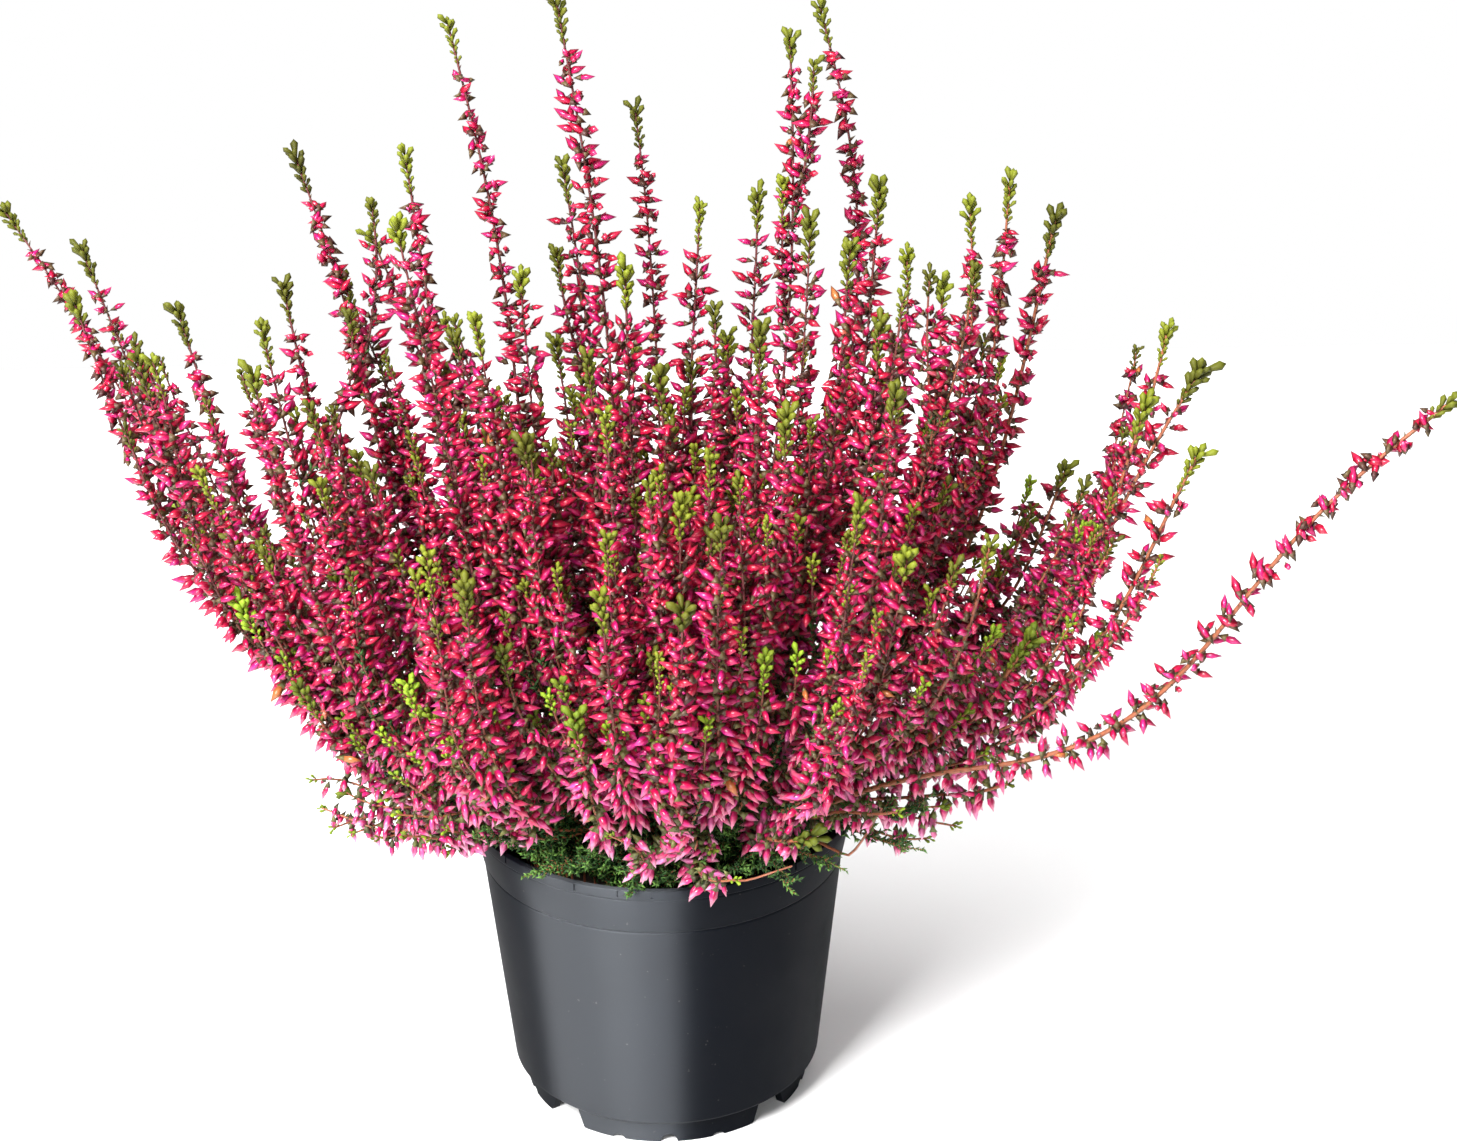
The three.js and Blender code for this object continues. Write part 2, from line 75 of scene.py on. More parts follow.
COMPOST_GAP = 0.4
COMPOST_SIDES = 120
COMPOST_RINGS = 36
LUMPS = 24
LUMP_WAVES = (0.06, 0.5)
LUMP_RISE = 1.1
EDGE_FALL = 1.5
EDGE_WIDE = 6

# The frame's shoots: how they grow and how far apart they keep, in millimetres
HOLE_DEPTH = 8
NECK = 2
PATH_POINTS = 22
FORK_POINT = 3
FORK_RISE = 22
FORK_SPREAD = 1.32
FORK_MIDDLE = 0.45
BELLY = 0.8
BELLY_RISE = 0.14
TIP_PULL = 0.36
DEPTH_LEAN = 0.3
BARE_MAIN = 8
BARE_SIDE = 16
BARE_LEAFY = 6
BARE_INSIDE = 88
BARE_REACH = 86
FORK_CLEAR = 26
STEM_ROOM = 2.7
BUD_ROOM = 5
LEAF_ROOM = 4
RIM_ROOM = 1.6
RIM_REACH = 12
APART_PASSES = 60
EVEN_OUT = 0.1
LEAFY_EVEN_OUT = 0.35
FOOT_SHARE = 0.21
FOOT_SPACING = 7.6
CROWN_R = 39
LEAFY_CROWN_R = 44
FEET_PASSES = 80

# The photograph's eye point in millimetres, its lens, and its size in pixels
EYE_AWAY = 721
EYE_UP = 483
EYE_PITCH = math.radians(23.2)
EYE_YAW = math.radians(1.7)
EYE_ROLL = math.radians(-0.5)
FOCAL_PX = 2600
PHOTO_SIZE = (1457, 1141)
SENSOR_MM = 36

# The floor, the sky's brighter side and its glow from the darker to the brighter side
FLOOR_HALF = 0.72
SKY_SIDE = (-0.55, -0.35, 0.75)
SKY_LIGHT = (0.03, 0.28)

# Lamps that shade, then lamps that show as gloss, the last on the pot alone. Each has its place and
# size in metres, its power in watts and the height on the pot's axis that it faces
SHADE_LAMPS = [
    ("key", (-0.62, -0.9, 1.05), (0.5, 0.5), 56, 0.18),
    ("top", (0.1, -0.1, 1.6), (1.2, 1.2), 24, 0.1),
    ("front", (0.2, -1.5, 0.5), (0.8, 0.5), 8, 0.15),
    ("back", (0.3, 1.4, 0.9), (1.2, 0.8), 10, 0.2),
]
PLANT_GLOSS = ("plant_gloss", (-0.5, -0.8, 1.0), (0.5, 0.5), 54, 0.18)
POT_GLOSS = ("pot_gloss", (-0.65, -0.81, 0.6), (2.2, 0.44), 440, 0.05)

# Where the flowering shoots end: column and row in pixels, depth behind the pot's axis, lean
SPRAYS = {
    "left_far": [[5, 212, 91, -38], [82, 250, 62, -18]],
    "left_outer": [[75, 305, 10, -14], [137, 362, -34, -12]],
    "left_upper": [[178, 312, 34, -12], [262, 330, -20, -8]],
    "left_low": [[200, 475, -46, -20], [253, 377, -60, -8]],
    "left_tall": [[295, 157, 40, -22], [283, 287, 4, -8]],
    "left_inner": [[310, 410, -52, -14], [342, 285, 44, -26]],
    "left_middle": [[405, 155, -6, -6], [397, 230, -38, -12]],
    "left_centre": [[475, 322, -46, -8], [370, 235, 62, -30]],
    "left_fringe": [[322, 808, -24, -80], [238, 606, -34, -24]],
    "left_skirt": [[396, 812, -54, -72], [300, 690, -58, -24]],
    "tall_left": [[448, 25, 24, -16], [520, 278, -24, -2]],
    "tall_middle": [[557, 5, 8, -14], [563, 168, 48, -12]],
    "centre_back": [[635, 110, 30, -10], [625, 272, -12, -2]],
    "centre": [[700, 208, 26, 6], [715, 312, -28, 0]],
    "centre_front": [[588, 360, -44, -4], [660, 378, -52, -4]],
    "centre_low": [[605, 415, -76, -4], [710, 460, -70, 0]],
    "right_centre": [[760, 333, -50, 2], [758, 195, 42, 2]],
    "tall_right": [[790, 40, 10, -4], [810, 225, -26, 0]],
    "tall_far_right": [[820, 8, 34, -24], [880, 192, 6, 4]],
    "right_inner": [[850, 250, -30, 4], [880, 325, -60, 2]],
    "right_middle": [[907, 255, 36, -6], [942, 285, -20, -4]],
    "right_tall": [[970, 208, 30, -9], [1010, 182, 4, 0]],
    "right_outer": [[1055, 220, 26, 9], [1065, 472, 40, 20]],
    "right_high": [[1168, 330, 44, 8], [1200, 372, 16, 34]],
    "right_wide": [[1145, 407, -12, 14], [1197, 457, -40, 24]],
    "right_stray": [[1450, 403, -93, 57]],
    "right_front": [[895, 398, -68, 4], [860, 508, -88, 6]],
    "right_low": [[990, 545, -62, 8], [1030, 640, -34, 28]],
    "right_fringe": [[1008, 784, -38, 74], [1100, 642, -24, 34]],
    "right_skirt": [[898, 812, -64, 66], [812, 838, -72, 60]],
    "front_right": [[787, 418, -66, 2], [907, 560, -92, 6]],
    "front_left_high": [[372, 475, -44, -4], [525, 447, -58, -4]],
    "front_left": [[427, 558, -78, -2], [465, 590, -92, -4]],
    "front_left_wide": [[350, 575, -46, -4], [408, 685, -66, -8]],
    "front_left_low": [[493, 660, -84, -2], [492, 745, -74, 0]],
    "front_high": [[607, 540, -82, -2], [680, 505, -78, 2]],
    "front_middle": [[600, 600, -100, -4], [683, 612, -103, 4]],
    "front_low": [[575, 720, -82, -6], [683, 735, -80, -2]],
    "front_right_low": [[722, 530, -96, 2], [765, 660, -82, 4]],
    "front_fringe": [[736, 880, -82, 70], [610, 834, -84, -70]],
}

# Rows of shoots round the back: sprays, reach and height
BACK_ROWS = [(2, 60, 232), (3, 88, 206), (3, 108, 164), (2, 98, 128)]
BACK_SPAN = 150
BACK_LEAN = 22
BACK_WIDER = 1.25

# The low leafy sprays, and how much further one end of a spray is than the other: turn, reach, height
LEAFY_SPRAYS = [
    (-86, 92, 106), (-52, 80, 112), (-26, 72, 108),
    (34, 82, 108), (60, 94, 112), (142, 82, 110), (-142, 84, 110),
]
LEAFY_ENDS = np.array([15, -4, 6])
LEAFY_LEAN = 70

# Side shoots that show as separate tips in the photograph: column and row in pixels
SIDE_TIPS = {
    "left_outer": [(153, 362)],
    "left_upper": [(350, 318)],
    "left_tall": [(372, 208)],
    "left_inner": [(393, 440), (425, 525)],
    "left_centre": [(480, 605), (552, 450)],
    "tall_middle": [(557, 255)],
    "centre": [(692, 370)],
    "tall_right": [(814, 67), (783, 185)],
    "right_inner": [(903, 300)],
    "right_middle": [(930, 275), (975, 272)],
    "left_fringe": [(334, 828), (352, 834), (378, 838), (312, 780)],
    "left_skirt": [(404, 836), (428, 838), (446, 830)],
    "right_fringe": [(956, 826), (930, 838)],
}
SIDE_SHOOT = 46
HANGS_BELOW = 760

# The fine shoots, in millimetres, and the heights between which low buds give way to high ones
STEP = 5
FINE_STEP = 2
STEM_THIN = 0.34
STEM_THICK = 0.85
SIDE_THICK = 0.55
WOODY_THICK = 1.05
LOW_Z = 92
HIGH_Z = 184
FRONT_DEPTH = -40
FRONT_BARE = 19
DROOPING = 60

# Each shoot's leafy head: how large its leaves are and how long it is
MAIN_HEAD, MAIN_TIP = (1.1, 1.5), (9, 13)
BESIDE_HEAD, BESIDE_TIP = (0.75, 1.1), (6, 10)
SIDE_HEAD, SIDE_TIP = 1.1, (6, 11)
DROOPING_HEAD, DROOPING_TIP = 0.6, 3

# How far shoots sway, and how much larger the heads and thicker the ends of loose ones are
MAIN_SWAY, BESIDE_SWAY = 0.9, 1.6
LOOSE_HEAD, LOOSE_THIN = 1.15, 1.5

# The finer shoots beside the frame's own: how many, which shares of its length they start and end at,
# how far off they stand, how much is bare, how short one may be, and the height above which none goes
COMPANIONS_FRONT = 3
COMPANIONS_BACK = 4
BESIDE_STARTS, BESIDE_ENDS = (0.16, 0.42), (0.6, 0.97)
BESIDE_REACH = (7, 15)
BESIDE_BARE = (6, 14)
SIDE_BARE = 6
BESIDE_LEAST = 36
SINGLE_ABOVE = 236

# How many there are where it isn't the common number
COMPANIONS = {
    "right_stray": 0, "right_fringe": 2, "right_skirt": 1, "right_wide": 3, "right_outer": 4,
    "right_high": 3, "right_low": 4, "right_tall": 4, "right_middle": 4, "right_inner": 4,
    "front_right": 4, "front_right_low": 2, "left_fringe": 4, "left_skirt": 4, "left_low": 4,
    "front_left_wide": 4,
}

# Sprays whose woody stems show between clusters of buds
LOOSE_SPRAYS = [
    "right_stray", "right_fringe", "right_skirt", "right_wide", "right_outer", "right_low",
    "right_high",
]

# Bare woody stems that show over the rim: column and row in pixels, and depth, from the crown on
WOODY_STEMS = [
    [(560, 846, -20), (495, 838, -22), (462, 820, -24)],
    [(690, 866, -40), (742, 884, -66), (766, 874, -68), (792, 866, -66)],
    [(770, 856, -34), (800, 852, -52), (816, 834, -54), (832, 822, -54)],
    [(800, 852, -30), (848, 862, -46), (864, 838, -48), (882, 808, -46)],
]

# The leafy cushion over the compost, and the sprigs round its front rim
SPRIGS = 130
SPRIG_RING_R = 50
SPRIG_START_Z = COMPOST_TOP + 1
SPRIG_SPREAD, SPRIG_RISE = (0, 20), (14, 34)
RIM_SPRIGS = 66
RIM_SPAN = 230
RIM_START_R = 47
RIM_TIP_R, RIM_TIP_Z = (52, 68), (100, 116)
SPRIG_STEP = 5
SPRIG_TWIGS = 13
TWIG_REACH = 7
TWIGS_APART = 1.9
LEAFY_BARE = 0.3

# What the tree reads at each point of a strand, and its named inputs, in metres
VALUES = ("zone", "thick", "low", "fresh", "vigour")
SHOOT_SIZES = {
    "Whorl Spacing": 0.0052,
    "Buds per Whorl": 5,
    "Whorl Spread": 0.0013,
    "Missing Buds": 0.1,
    "Bud Length": 0.0056,
    "Short Stalk": 0.001,
    "Long Stalk": 0.0024,
    "Lean Low": -0.1,
    "Lean High": 1.0,
    "Droop": 1.2,
    "Chip Spacing": 0.0018,
    "Chip Length": 0.0022,
    "Leaf Spacing": 0.0011,
    "Leaf Length": 0.0027,
    "Tip Spacing": 0.00055,
    "Tip Length": 0.0035,
    "Stem Sides": 4,
    "Seed": 1,
}
LOOSE_SIZES = {"Whorl Spacing": 0.0082, "Buds per Whorl": 8, "Whorl Spread": 0.0024}
LEAFY_SIZES = {"Leaf Spacing": 0.0007, "Leaf Length": 0.0019, "Stem Sides": 3}

# How far each whorl and leaf turns from the one before and how uneven whorls are, in radians, and
# how much buds and leaves differ in size
WHORL_TURN = 0.9
LEAF_TURN = 2.4
BUD_TURN = (-0.6, 0.6)
BUD_GROWTH = (0.8, 1.14)
LEAF_GROWTH = (0.75, 1.15)


def millimetres(*numbers):
    return Vector(numbers) * MM


def polar(turn, reach, height):
    """A place at a turn in degrees from the front, counted towards the right."""
    angle = math.radians(turn)
    return np.array([reach * math.sin(angle), -reach * math.cos(angle), height])


def made(name, data):
    piece = bpy.data.objects.new(name, data)
    bpy.context.scene.collection.objects.link(piece)
    return piece


class Nodes:
    """A node tree, with one call for each kind of node."""

    def __init__(self, tree):
        self.tree = tree

    def plug(self, node, plugs):
        for name, value in plugs.items():
            socket = node.inputs[name]
            if isinstance(value, bpy.types.NodeSocket):
                self.tree.links.new(value, socket)
            else:
                socket.default_value = value

    def node(self, kind, plugs=None, **settings):
        node = self.tree.nodes.new(kind)
        for name, value in settings.items():
            setattr(node, name, value)
        self.plug(node, plugs or {})
        return node

    def add(self, kind, plugs=None, out=0, **settings):
        return self.node(kind, plugs, **settings).outputs[out]

    def math(self, operation, a, b=0.0):
        return self.add("ShaderNodeMath", {0: a, 1: b}, operation=operation)

    def span(self, value, low, high, to_low=0.0, to_high=1.0):
        return self.add("ShaderNodeMapRange", {0: value, 1: low, 2: high, 3: to_low, 4: to_high})


# The camera, floor and light

def photo_axes():
    """The directions ahead, to the right and up in the photograph."""
    ahead = np.array([
        math.sin(EYE_YAW) * math.cos(EYE_PITCH),
        math.cos(EYE_YAW) * math.cos(EYE_PITCH),
        -math.sin(EYE_PITCH),
    ])
    level = np.array([math.cos(EYE_YAW), -math.sin(EYE_YAW), 0.0])
    upright = np.cross(level, ahead)
    right = math.cos(EYE_ROLL) * level + math.sin(EYE_ROLL) * upright
    up = math.cos(EYE_ROLL) * upright - math.sin(EYE_ROLL) * level
    return ahead, right, up


EYE = np.array([0, -EYE_AWAY, EYE_UP])
AHEAD, RIGHT, UP = photo_axes()


def make_camera():
    lens = bpy.data.cameras.new("camera")
    lens.sensor_width = SENSOR_MM
    lens.lens = FOCAL_PX * SENSOR_MM / PHOTO_SIZE[0]
    lens.clip_start = 0.01
    camera = made("camera", lens)
    turn = Matrix((RIGHT, UP, -AHEAD)).transposed().to_4x4()
    camera.matrix_world = Matrix.Translation(millimetres(*EYE)) @ turn
    bpy.context.scene.camera = camera


def make_light(name, place, size, power, faces, gloss):
    """A soft lamp that the camera doesn't see. It gives either shading or gloss."""
    light = bpy.data.lights.new(name, "AREA")
    light.shape = "RECTANGLE"
    light.size, light.size_y = size
    light.energy = power
    lamp = made(name, light)
    lamp.location = place
    lamp.rotation_euler = (Vector((0, 0, faces)) - Vector(place)).to_track_quat("-Z", "Y").to_euler()
    lamp.visible_camera = False
    lamp.visible_diffuse = not gloss
    lamp.visible_glossy = gloss
    return lamp


def light_all():
    for lamp in SHADE_LAMPS:
        make_light(*lamp, gloss=False)
    make_light(*PLANT_GLOSS, gloss=True)
    pot = bpy.data.collections.new("pot_lit")
    pot.objects.link(bpy.data.objects["nursery_pot"])
    make_light(*POT_GLOSS, gloss=True).light_linking.receiver_collection = pot


def make_sky():
    """White where the camera sees it, and a soft light that is brighter from the left, above."""
    world = bpy.data.worlds.new("studio")
    world.use_nodes = True
    sky = Nodes(world.node_tree)
    where = sky.add("ShaderNodeTexCoord")
    along = sky.add("ShaderNodeVectorMath", {0: where, 1: SKY_SIDE}, out="Value", operation="DOT_PRODUCT")
    soft = sky.span(along, -1, 1, *SKY_LIGHT)
    seen = sky.add("ShaderNodeLightPath")
    strength = sky.add("ShaderNodeMix", {"Factor": seen, "A": soft, "B": 1.0}, out="Result")
    sky.plug(sky.tree.nodes["Background"], {"Color": (1, 1, 1, 1), "Strength": strength})
    bpy.context.scene.world = world


def make_stage():
    mesh = bpy.data.meshes.new("floor")
    corners = [(x * FLOOR_HALF, y * FLOOR_HALF, 0) for x, y in ((-1, -1), (1, -1), (1, 1), (-1, 1))]
    mesh.from_pydata(corners, [], [(0, 1, 2, 3)])
    mesh.materials.append(floor_finish())
    floor = made("floor", mesh)
    make_sky()
    bpy.context.scene.view_settings.view_transform = "Standard"


# Finishes

def rgb(red, green, blue):
    """A screen colour, each part from 0 to 255, as the linear colour that a shader takes."""
    return tuple(((part / 255 + 0.055) / 1.055) ** 2.4 for part in (red, green, blue)) + (1.0,)


class Finish(Nodes):
    """A material on the standard shader, whose sockets are named with _ in place of spaces."""

    def __init__(self, name, **sockets):
        self.material = bpy.data.materials.new(name)
        self.material.use_nodes = True
        super().__init__(self.material.node_tree)
        self.shader = self.tree.nodes["Principled BSDF"]
        self.paint(**sockets)

    def paint(self, **sockets):
        self.plug(self.shader, {name.replace("_", " "): value for name, value in sockets.items()})
        return self.material

    def place(self, out="Object"):
        return self.add("ShaderNodeTexCoord", out=out)

    def grown(self, name):
        return self.add("ShaderNodeAttribute", out=2, attribute_name=name)

    def noise(self, scale, detail=3.0, place=None):
        place = place or self.place()
        return self.add("ShaderNodeTexNoise", {"Vector": place, "Scale": scale, "Detail": detail})

    def mix(self, share, a, b):
        return self.add("ShaderNodeMix", {0: share, 6: a, 7: b}, out=2, data_type="RGBA")

    def ramp(self, value, *colours):
        """Screen colours at even steps from 0 to 1, blended between them."""
        node = self.node("ShaderNodeValToRGB", {0: value})
        marks = node.color_ramp.elements
        while len(marks) < len(colours):
            marks.new(0.5)
        for number, (mark, colour) in enumerate(zip(marks, colours)):
            mark.position = number / (len(colours) - 1)
            mark.color = rgb(*colour)
        return node.outputs[0]

    def bump(self, height, strength, distance):
        plugs = {"Height": height, "Strength": strength, "Distance": distance}
        self.paint(Normal=self.add("ShaderNodeBump", plugs))


def floor_finish():
    finish = Finish("pale_floor", Roughness=0.9, Specular_IOR_Level=0.2)
    grain = finish.span(finish.noise(9.0), 0, 1)
    return finish.paint(Base_Color=finish.mix(grain, rgb(238, 238, 238), rgb(233, 233, 233)))


def pot_finish():
    finish = Finish(
        "moulded_plastic", Specular_IOR_Level=0.11, Specular_Tint=(0.9, 0.95, 1.0, 1.0),
        Anisotropic=1.0, Anisotropic_Rotation=0.25,
    )
    place = finish.place()
    cloud = finish.noise(34, 4, place)
    grain = finish.noise(2600, 2, place)
    speck = finish.span(finish.noise(700, 1, place), 0.76, 0.8)
    base = finish.mix(cloud, rgb(4, 6, 11), rgb(8, 11, 17))
    around = finish.add("ShaderNodeTangent", direction_type="RADIAL", axis="Z")
    dusty = finish.mix(finish.math("MULTIPLY", speck, 0.2), base, rgb(110, 108, 102))
    finish.bump(grain, 0.12, 0.0002)
    rough = finish.span(cloud, 0.3, 0.7, 0.46, 0.54)
    return finish.paint(Base_Color=dusty, Roughness=rough, Tangent=around)


def compost_finish():
    finish = Finish("peat_compost", Roughness=0.95)
    crumb = finish.noise(420, 6)
    finish.bump(crumb, 0.9, 0.0012)
    return finish.paint(Base_Color=finish.mix(crumb, rgb(10, 8, 7), rgb(48, 36, 26)))


def bud_finish():
    finish = Finish("heather_bud", Roughness=0.35, Specular_IOR_Level=0.55)
    low, tint, along, lit_ridge = (finish.grown(value) for value in ("low", "tint", "along", "lit_ridge"))
    # Painted light: the deep colour is painted shade on the faces between the bud's ridges, and the bright
    # and pink colours, chosen per bud, are painted highlight streaks along the ridges.
    shaded_deep = finish.ramp(low, (112, 0, 22), (122, 0, 36), (134, 4, 58))
    lit_bright = finish.ramp(low, (182, 0, 54), (198, 2, 80), (212, 36, 118))
    lit_pink = finish.ramp(low, (186, 12, 106), (202, 34, 136), (240, 146, 200))
    lit_and_shaded = finish.mix(lit_ridge, shaded_deep, finish.mix(finish.span(tint, 0.35, 1.0), lit_bright, lit_pink))
    end = finish.math("MULTIPLY", finish.span(along, 0.5, 1.0), finish.span(low, 0.3, 1.0, 0.05, 0.8))
    tipped = finish.mix(end, lit_and_shaded, rgb(250, 214, 226))
    dried = finish.mix(finish.span(tint, 0.992, 0.996), tipped, rgb(160, 92, 48))
    return finish.paint(Base_Color=dried)


def bract_finish():
    finish = Finish("bract", Roughness=0.6)
    low, tint = finish.grown("low"), finish.grown("tint")
    high_colour = finish.mix(tint, rgb(62, 24, 26), rgb(84, 68, 36))
    low_colour = finish.mix(tint, rgb(48, 50, 24), rgb(104, 112, 52))
    return finish.paint(Base_Color=finish.mix(low, high_colour, low_colour))


def stem_finish():
    """Red-brown when young, and paler, woodier bark low in the bush and at its right."""
    finish = Finish("heather_stem", Roughness=0.55)
    place = finish.place()
    height = finish.add("ShaderNodeSeparateXYZ", {0: place}, out=2)
    right = finish.add("ShaderNodeSeparateXYZ", {0: place}, out=0)
    woody = finish.math("MAXIMUM", finish.span(height, 0.19, 0.12), finish.span(right, 0.06, 0.1))
    bark = finish.noise(900, 4, place)
    young = finish.mix(bark, rgb(70, 30, 36), rgb(118, 56, 54))
    old = finish.mix(bark, rgb(98, 54, 36), rgb(172, 100, 66))
    finish.bump(bark, 0.5, 0.0003)
    return finish.paint(Base_Color=finish.mix(woody, young, old))


def leaf_finish(name, dark, mid, fresh, fresh_low):
    """Leaves that go from their dark colours to a fresh one with their age and towards their tips."""
    finish = Finish(name, Roughness=0.6, Specular_IOR_Level=0.2)
    age, tint, along, low = (finish.grown(value) for value in ("fresh", "tint", "along", "low"))
    shade = finish.mix(tint, rgb(*dark), rgb(*mid))
    tip = finish.span(along, 0.0, 0.8, 0.35, 1.0)
    ripe = finish.math("MULTIPLY", finish.span(age, 0.3, 1.0), tip)
    new = finish.mix(finish.span(low, 0.0, 0.12), rgb(*fresh), rgb(*fresh_low))
    return finish.paint(Base_Color=finish.mix(ripe, shade, new))


# Meshes

def circle(radius, sides):
    """The x and y of points round a circle."""
    turns = [math.tau * side / sides for side in range(sides)]
    return [(radius * math.cos(turn), radius * math.sin(turn)) for turn in turns]


def spindle(name, rings, sides=4):
    """A closed spindle along Z from 0 to 1, with the height and radius of each of its rings. Every
    second edge up it is a ridge, which the bud's finish paints lighter as a highlight streak."""
    corners, lit_ridges = [(0, 0, 0)], [0.0]
    for height, radius in rings:
        corners += [(x, y, height) for x, y in circle(radius, sides)]
        lit_ridges += [float(side % 2) for side in range(sides)]
    corners.append((0, 0, 1))
    lit_ridges.append(1.0)
    top = 1 + (len(rings) - 1) * sides
    faces = []
    for side in range(sides):
        after = (side + 1) % sides
        faces.append((0, 1 + after, 1 + side))
        for low in range(1, top, sides):
            faces.append((low + side, low + after, low + sides + after, low + sides + side))
        faces.append((top + side, top + after, len(corners) - 1))
    return grown_shape(name, corners, faces, lit_ridges)


def cone(name, radius, base, point, sides=3):
    """A closed cone along Z, from its base to its point, which may lie below it."""
    corners = [(x, y, base) for x, y in circle(radius, sides)] + [(0, 0, point)]
    around = list(range(sides))
    faces = [tuple(reversed(around))] + [(side, (side + 1) % sides, sides) for side in around]
    if point < base:
        faces = [tuple(reversed(face)) for face in faces]
    return grown_shape(name, corners, faces, [0.0] * len(corners))


def grown_shape(name, corners, faces, lit_ridges):
    """A small shape whose points know how far along it and how near a ridge they are; the bud's finish
    paints the ridges as highlight streaks and the faces between them as shade.
    """
    mesh = bpy.data.meshes.new(name)
    mesh.from_pydata(corners, [], faces)
    for value, numbers in (("along", [z for _, _, z in corners]), ("lit_ridge", lit_ridges)):
        mesh.attributes.new(value, "FLOAT", "POINT").data.foreach_set("value", numbers)
    mesh.shade_smooth()
    return made(name, mesh)


def bridge(grid, low, high):
    """Faces between two rings of corners. A ring at a pole names its one corner many times."""
    for side in range(len(low)):
        after = (side + 1) % len(low)
        corners = [low[side], low[after], high[after], high[side]]
        grid.faces.new(list(dict.fromkeys(corners)))


def finished(name, grid):
    """The grid's faces as an object, turned outward."""
    bmesh.ops.recalc_face_normals(grid, faces=grid.faces)
    mesh = bpy.data.meshes.new(name)
    grid.to_mesh(mesh)
    grid.free()
    return made(name, mesh)


def revolved(name, outline, sides):
    """A closed solid of revolution from (radius, height) pairs that start and end on the axis."""
    grid = bmesh.new()
    rings = []
    for radius, height in outline:
        if radius == 0:
            rings.append([grid.verts.new(millimetres(0, 0, height))] * sides)
        else:
            spots = [millimetres(x, y, height) for x, y in circle(radius, sides)]
            rings.append([grid.verts.new(spot) for spot in spots])
    for low, high in zip(rings, rings[1:]):
        bridge(grid, low, high)
    return finished(name, grid)


def bow(start, belly, tip, points):
    """Points along a curve from start to tip that is drawn towards its belly."""
    share = np.linspace(0, 1, points)[:, None]
    return (1 - share) ** 2 * start + 2 * share * (1 - share) * belly + share ** 2 * tip


def swept(start, first, last, tip, share):
    """The places at some shares of a curve that leaves towards first and arrives from last."""
    rest = 1 - share
    middle = 3 * rest ** 2 * share * first + 3 * rest * share ** 2 * last
    return rest ** 3 * start + middle + share ** 3 * tip


def rounded(outline, radius, points=4):
    """The outline with each corner between its ends turned into an arc of about that radius."""
    smooth = [outline[0]]
    for before, corner, after in zip(outline, outline[1:], outline[2:]):
        before, after = np.subtract(before, corner), np.subtract(after, corner)
        cut = min(radius, 0.45 * np.linalg.norm(before), 0.45 * np.linalg.norm(after))
        first, last = corner + cut * unit(before), corner + cut * unit(after)
        smooth += [tuple(point) for point in bow(first, np.array(corner, float), last, points)]
    return smooth + [outline[-1]]


def bake(piece, name):
    """A plain mesh object of what the piece's modifiers make of it."""
    graph = bpy.context.evaluated_depsgraph_get()
    mesh = bpy.data.meshes.new_from_object(piece.evaluated_get(graph), depsgraph=graph)
    mesh.name = name
    return made(name, mesh)


def dress(piece, slot, *nodes):
    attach(piece, "root")
    if nodes:
        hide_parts(*nodes)


# The pot

PER_FOOT = 360 / FOOT_COUNT
FOOT_GAPS = [PER_FOOT * (foot + 0.5) for foot in range(FOOT_COUNT)]


def inner_radius(height):
    slope = (COLLAR_R - COLLAR_STEP - BASE_R) / (COLLAR_Z - BASE_Z)
    flare = (RIM_R - LIP_STEP - COLLAR_R) / (LIP_Z - COLLAR_Z)
    wall = BASE_R + slope * (min(height, COLLAR_Z) - BASE_Z)
    return wall + flare * max(height - COLLAR_Z, 0) - WALL


def make_pot_shell():
    floor = BASE_Z + WALL
    outline = [
        (0, BASE_Z),
        (BASE_R - BASE_ROUND, BASE_Z),
        (BASE_R, BASE_Z + BASE_ROUND),
        (COLLAR_R - COLLAR_STEP, COLLAR_Z - 1.1),
        (COLLAR_R - COLLAR_STEP - GROOVE, COLLAR_Z - 0.6),
        (COLLAR_R, COLLAR_Z),
        (RIM_R - LIP_STEP, LIP_Z - 1),
        (RIM_R - LIP_STEP - GROOVE, LIP_Z - 0.4),
        (RIM_R, LIP_Z),
        (RIM_R, POT_H),
        (RIM_R - LIP_STEP - WALL, POT_H),
        (inner_radius(LIP_Z), LIP_Z),
        (inner_radius(COLLAR_Z), COLLAR_Z),
        (inner_radius(floor), floor),
        (0, floor),
    ]
    return revolved("pot_shell", rounded(outline, POT_EASE), POT_SIDES)


def foot_bottom(turn):
    """The height of the foot ring's lower edge at a turn in degrees from the front."""
    local = (turn + PER_FOOT / 2) % PER_FOOT - PER_FOOT / 2
    from_gap = math.radians(PER_FOOT / 2 - abs(local)) * FOOT_R
    if from_gap < FOOT_GAP / 2:
        return BASE_Z
    height = max(0, BASE_Z * (1 - (from_gap - FOOT_GAP / 2) / FOOT_SLANT))
    for centre, radius, sink in NOTCHES:
        away = math.radians(abs(local - centre)) * FOOT_R
        if away < radius:
            height = max(height, math.sqrt(radius ** 2 - away ** 2) - sink)
    return height


def make_feet():
    """A ring under the base, cut by gaps and notches from below."""
    gap_edge = math.degrees(FOOT_GAP / 2 / FOOT_R)
    turns = set(np.arange(0, 360, 0.5))
    for gap in FOOT_GAPS:
        for edge in (gap - gap_edge, gap + gap_edge):
            turns.update(((edge - 0.01) % 360, (edge + 0.01) % 360))
    grid = bmesh.new()
    inner, top = FOOT_R - FOOT_THICK, BASE_Z + FOOT_SUNK
    walls = []
    for turn in sorted(turns):
        low = foot_bottom(turn)
        section = [(inner, low), (FOOT_R, low), (FOOT_R, top), (inner, top)]
        walls.append([grid.verts.new(millimetres(*polar(turn, *spot))) for spot in section])
    for here, there in zip(walls, walls[1:] + walls[:1]):
        bridge(grid, here, there)
    return finished("pot_feet", grid)


